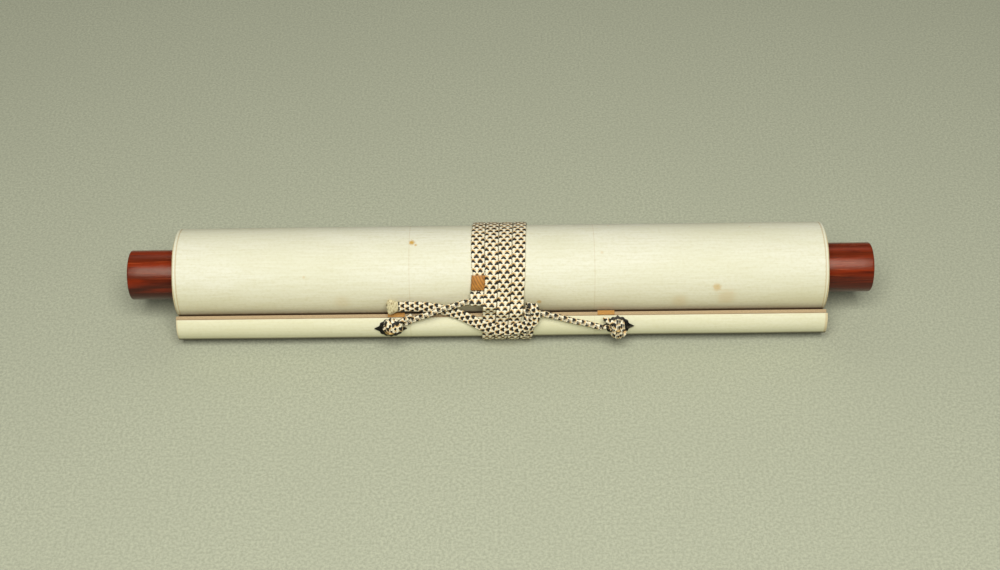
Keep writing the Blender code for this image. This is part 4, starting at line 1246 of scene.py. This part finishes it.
class SCROLL_OT_stage(bpy.types.Operator):
    """Adds the floor, soft studio light and the camera"""
    bl_idname = "scroll.stage"
    bl_label = "Stage"

    def execute(self, context):
        size = 6.0
        corners = np.array([(-size, -size, 0), (size, -size, 0), (size, size, 0), (-size, size, 0)], float)
        felt = studio_floor(colours_of(context))
        floor = add_mesh("studio_floor", corners, [[0, 1, 2, 3]], felt, None, False)
        world_light = bpy.data.worlds.new("studio")
        world_light.use_nodes = True
        background = world_light.node_tree.nodes["Background"]
        background.inputs["Color"].default_value = (1.0, 0.99, 0.95, 1.0)
        background.inputs["Strength"].default_value = 0.06
        context.scene.world = world_light
        area_light("softbox", (0.0, -0.84, 1.32), (0.0, 0.0, 0.03), 1.24, 1.0, 29.2)
        area_light("back_fill", (0.0, 1.3, 1.3), (0.0, 0.8, 0.0), 1.6, 0.6, 2.4)
        context.scene.view_settings.view_transform = "Standard"
        camera_at_table(context)
        return {"FINISHED"}


def area_light(name, place, target, width, depth, power):
    """Rectangular soft light that faces a target."""
    light = bpy.data.lights.new(name, "AREA")
    light.shape = "RECTANGLE"
    light.size = width
    light.size_y = depth
    light.energy = power
    light.color = (1.0, 0.985, 0.95)
    obj = bpy.data.objects.new(name, light)
    obj.location = place
    obj.rotation_euler = (Vector(target) - Vector(place)).to_track_quat("-Z", "Y").to_euler()
    bpy.context.scene.collection.objects.link(obj)
    return obj


def camera_at_table(context):
    """Camera above the near side, a little over an arm's length from the roller's axis."""
    elevation = radians(41.0)
    distance = 0.960
    dip = radians(0.52)
    data = bpy.data.cameras.new("camera")
    data.sensor_width = 36.0
    data.lens = 56.01
    data.clip_start = 0.01
    camera = bpy.data.objects.new("camera", data)
    back = Vector((0, -cos(elevation), sin(elevation)))
    camera.location = Vector(ROLLER_AXIS) + back * distance + Vector((-0.0005, 0, 0))
    level = Matrix.Rotation(pi / 2 - elevation - dip, 4, "X")
    camera.rotation_euler = (level @ Matrix.Rotation(radians(-0.65), 4, "Z")).to_euler()
    context.scene.collection.objects.link(camera)
    context.scene.camera = camera


class SCROLL_PT_panel(bpy.types.Panel):
    bl_idname = "SCROLL_PT_panel"
    bl_label = "Tied scroll"
    bl_space_type = "VIEW_3D"
    bl_region_type = "UI"
    bl_category = "Scroll"

    def draw(self, context):
        for operator in OPERATORS:
            self.layout.operator(operator.bl_idname)
        for group in (colours_of(context), sizes_of(context)):
            for name in group.bl_rna.properties.keys():
                if name not in ("rna_type", "name"):
                    self.layout.prop(group, name)


OPERATORS = (SCROLL_OT_stage, SCROLL_OT_hanging_cord, SCROLL_OT_tie_cord, SCROLL_OT_collar, SCROLL_OT_sheet,
             SCROLL_OT_roller, SCROLL_OT_stave, SCROLL_OT_fixings)
CLASSES = (ScrollColours, ScrollSizes) + OPERATORS + (SCROLL_PT_panel,)


def register():
    for cls in CLASSES:
        bpy.utils.register_class(cls)
    bpy.types.Scene.scroll_colours = bpy.props.PointerProperty(type=ScrollColours)
    bpy.types.Scene.scroll_sizes = bpy.props.PointerProperty(type=ScrollSizes)


def unregister():
    del bpy.types.Scene.scroll_sizes
    del bpy.types.Scene.scroll_colours
    for cls in reversed(CLASSES):
        bpy.utils.unregister_class(cls)


def main():
    """Builds every piece around the frame."""
    register()
    bpy.ops.scroll.stage()
    bpy.ops.scroll.hanging_cord()
    bpy.ops.scroll.tie_cord()
    bpy.ops.scroll.collar()
    bpy.ops.scroll.sheet()
    bpy.ops.scroll.roller()
    bpy.ops.scroll.stave()
    bpy.ops.scroll.fixings()


if __name__ == "__main__":
    main()
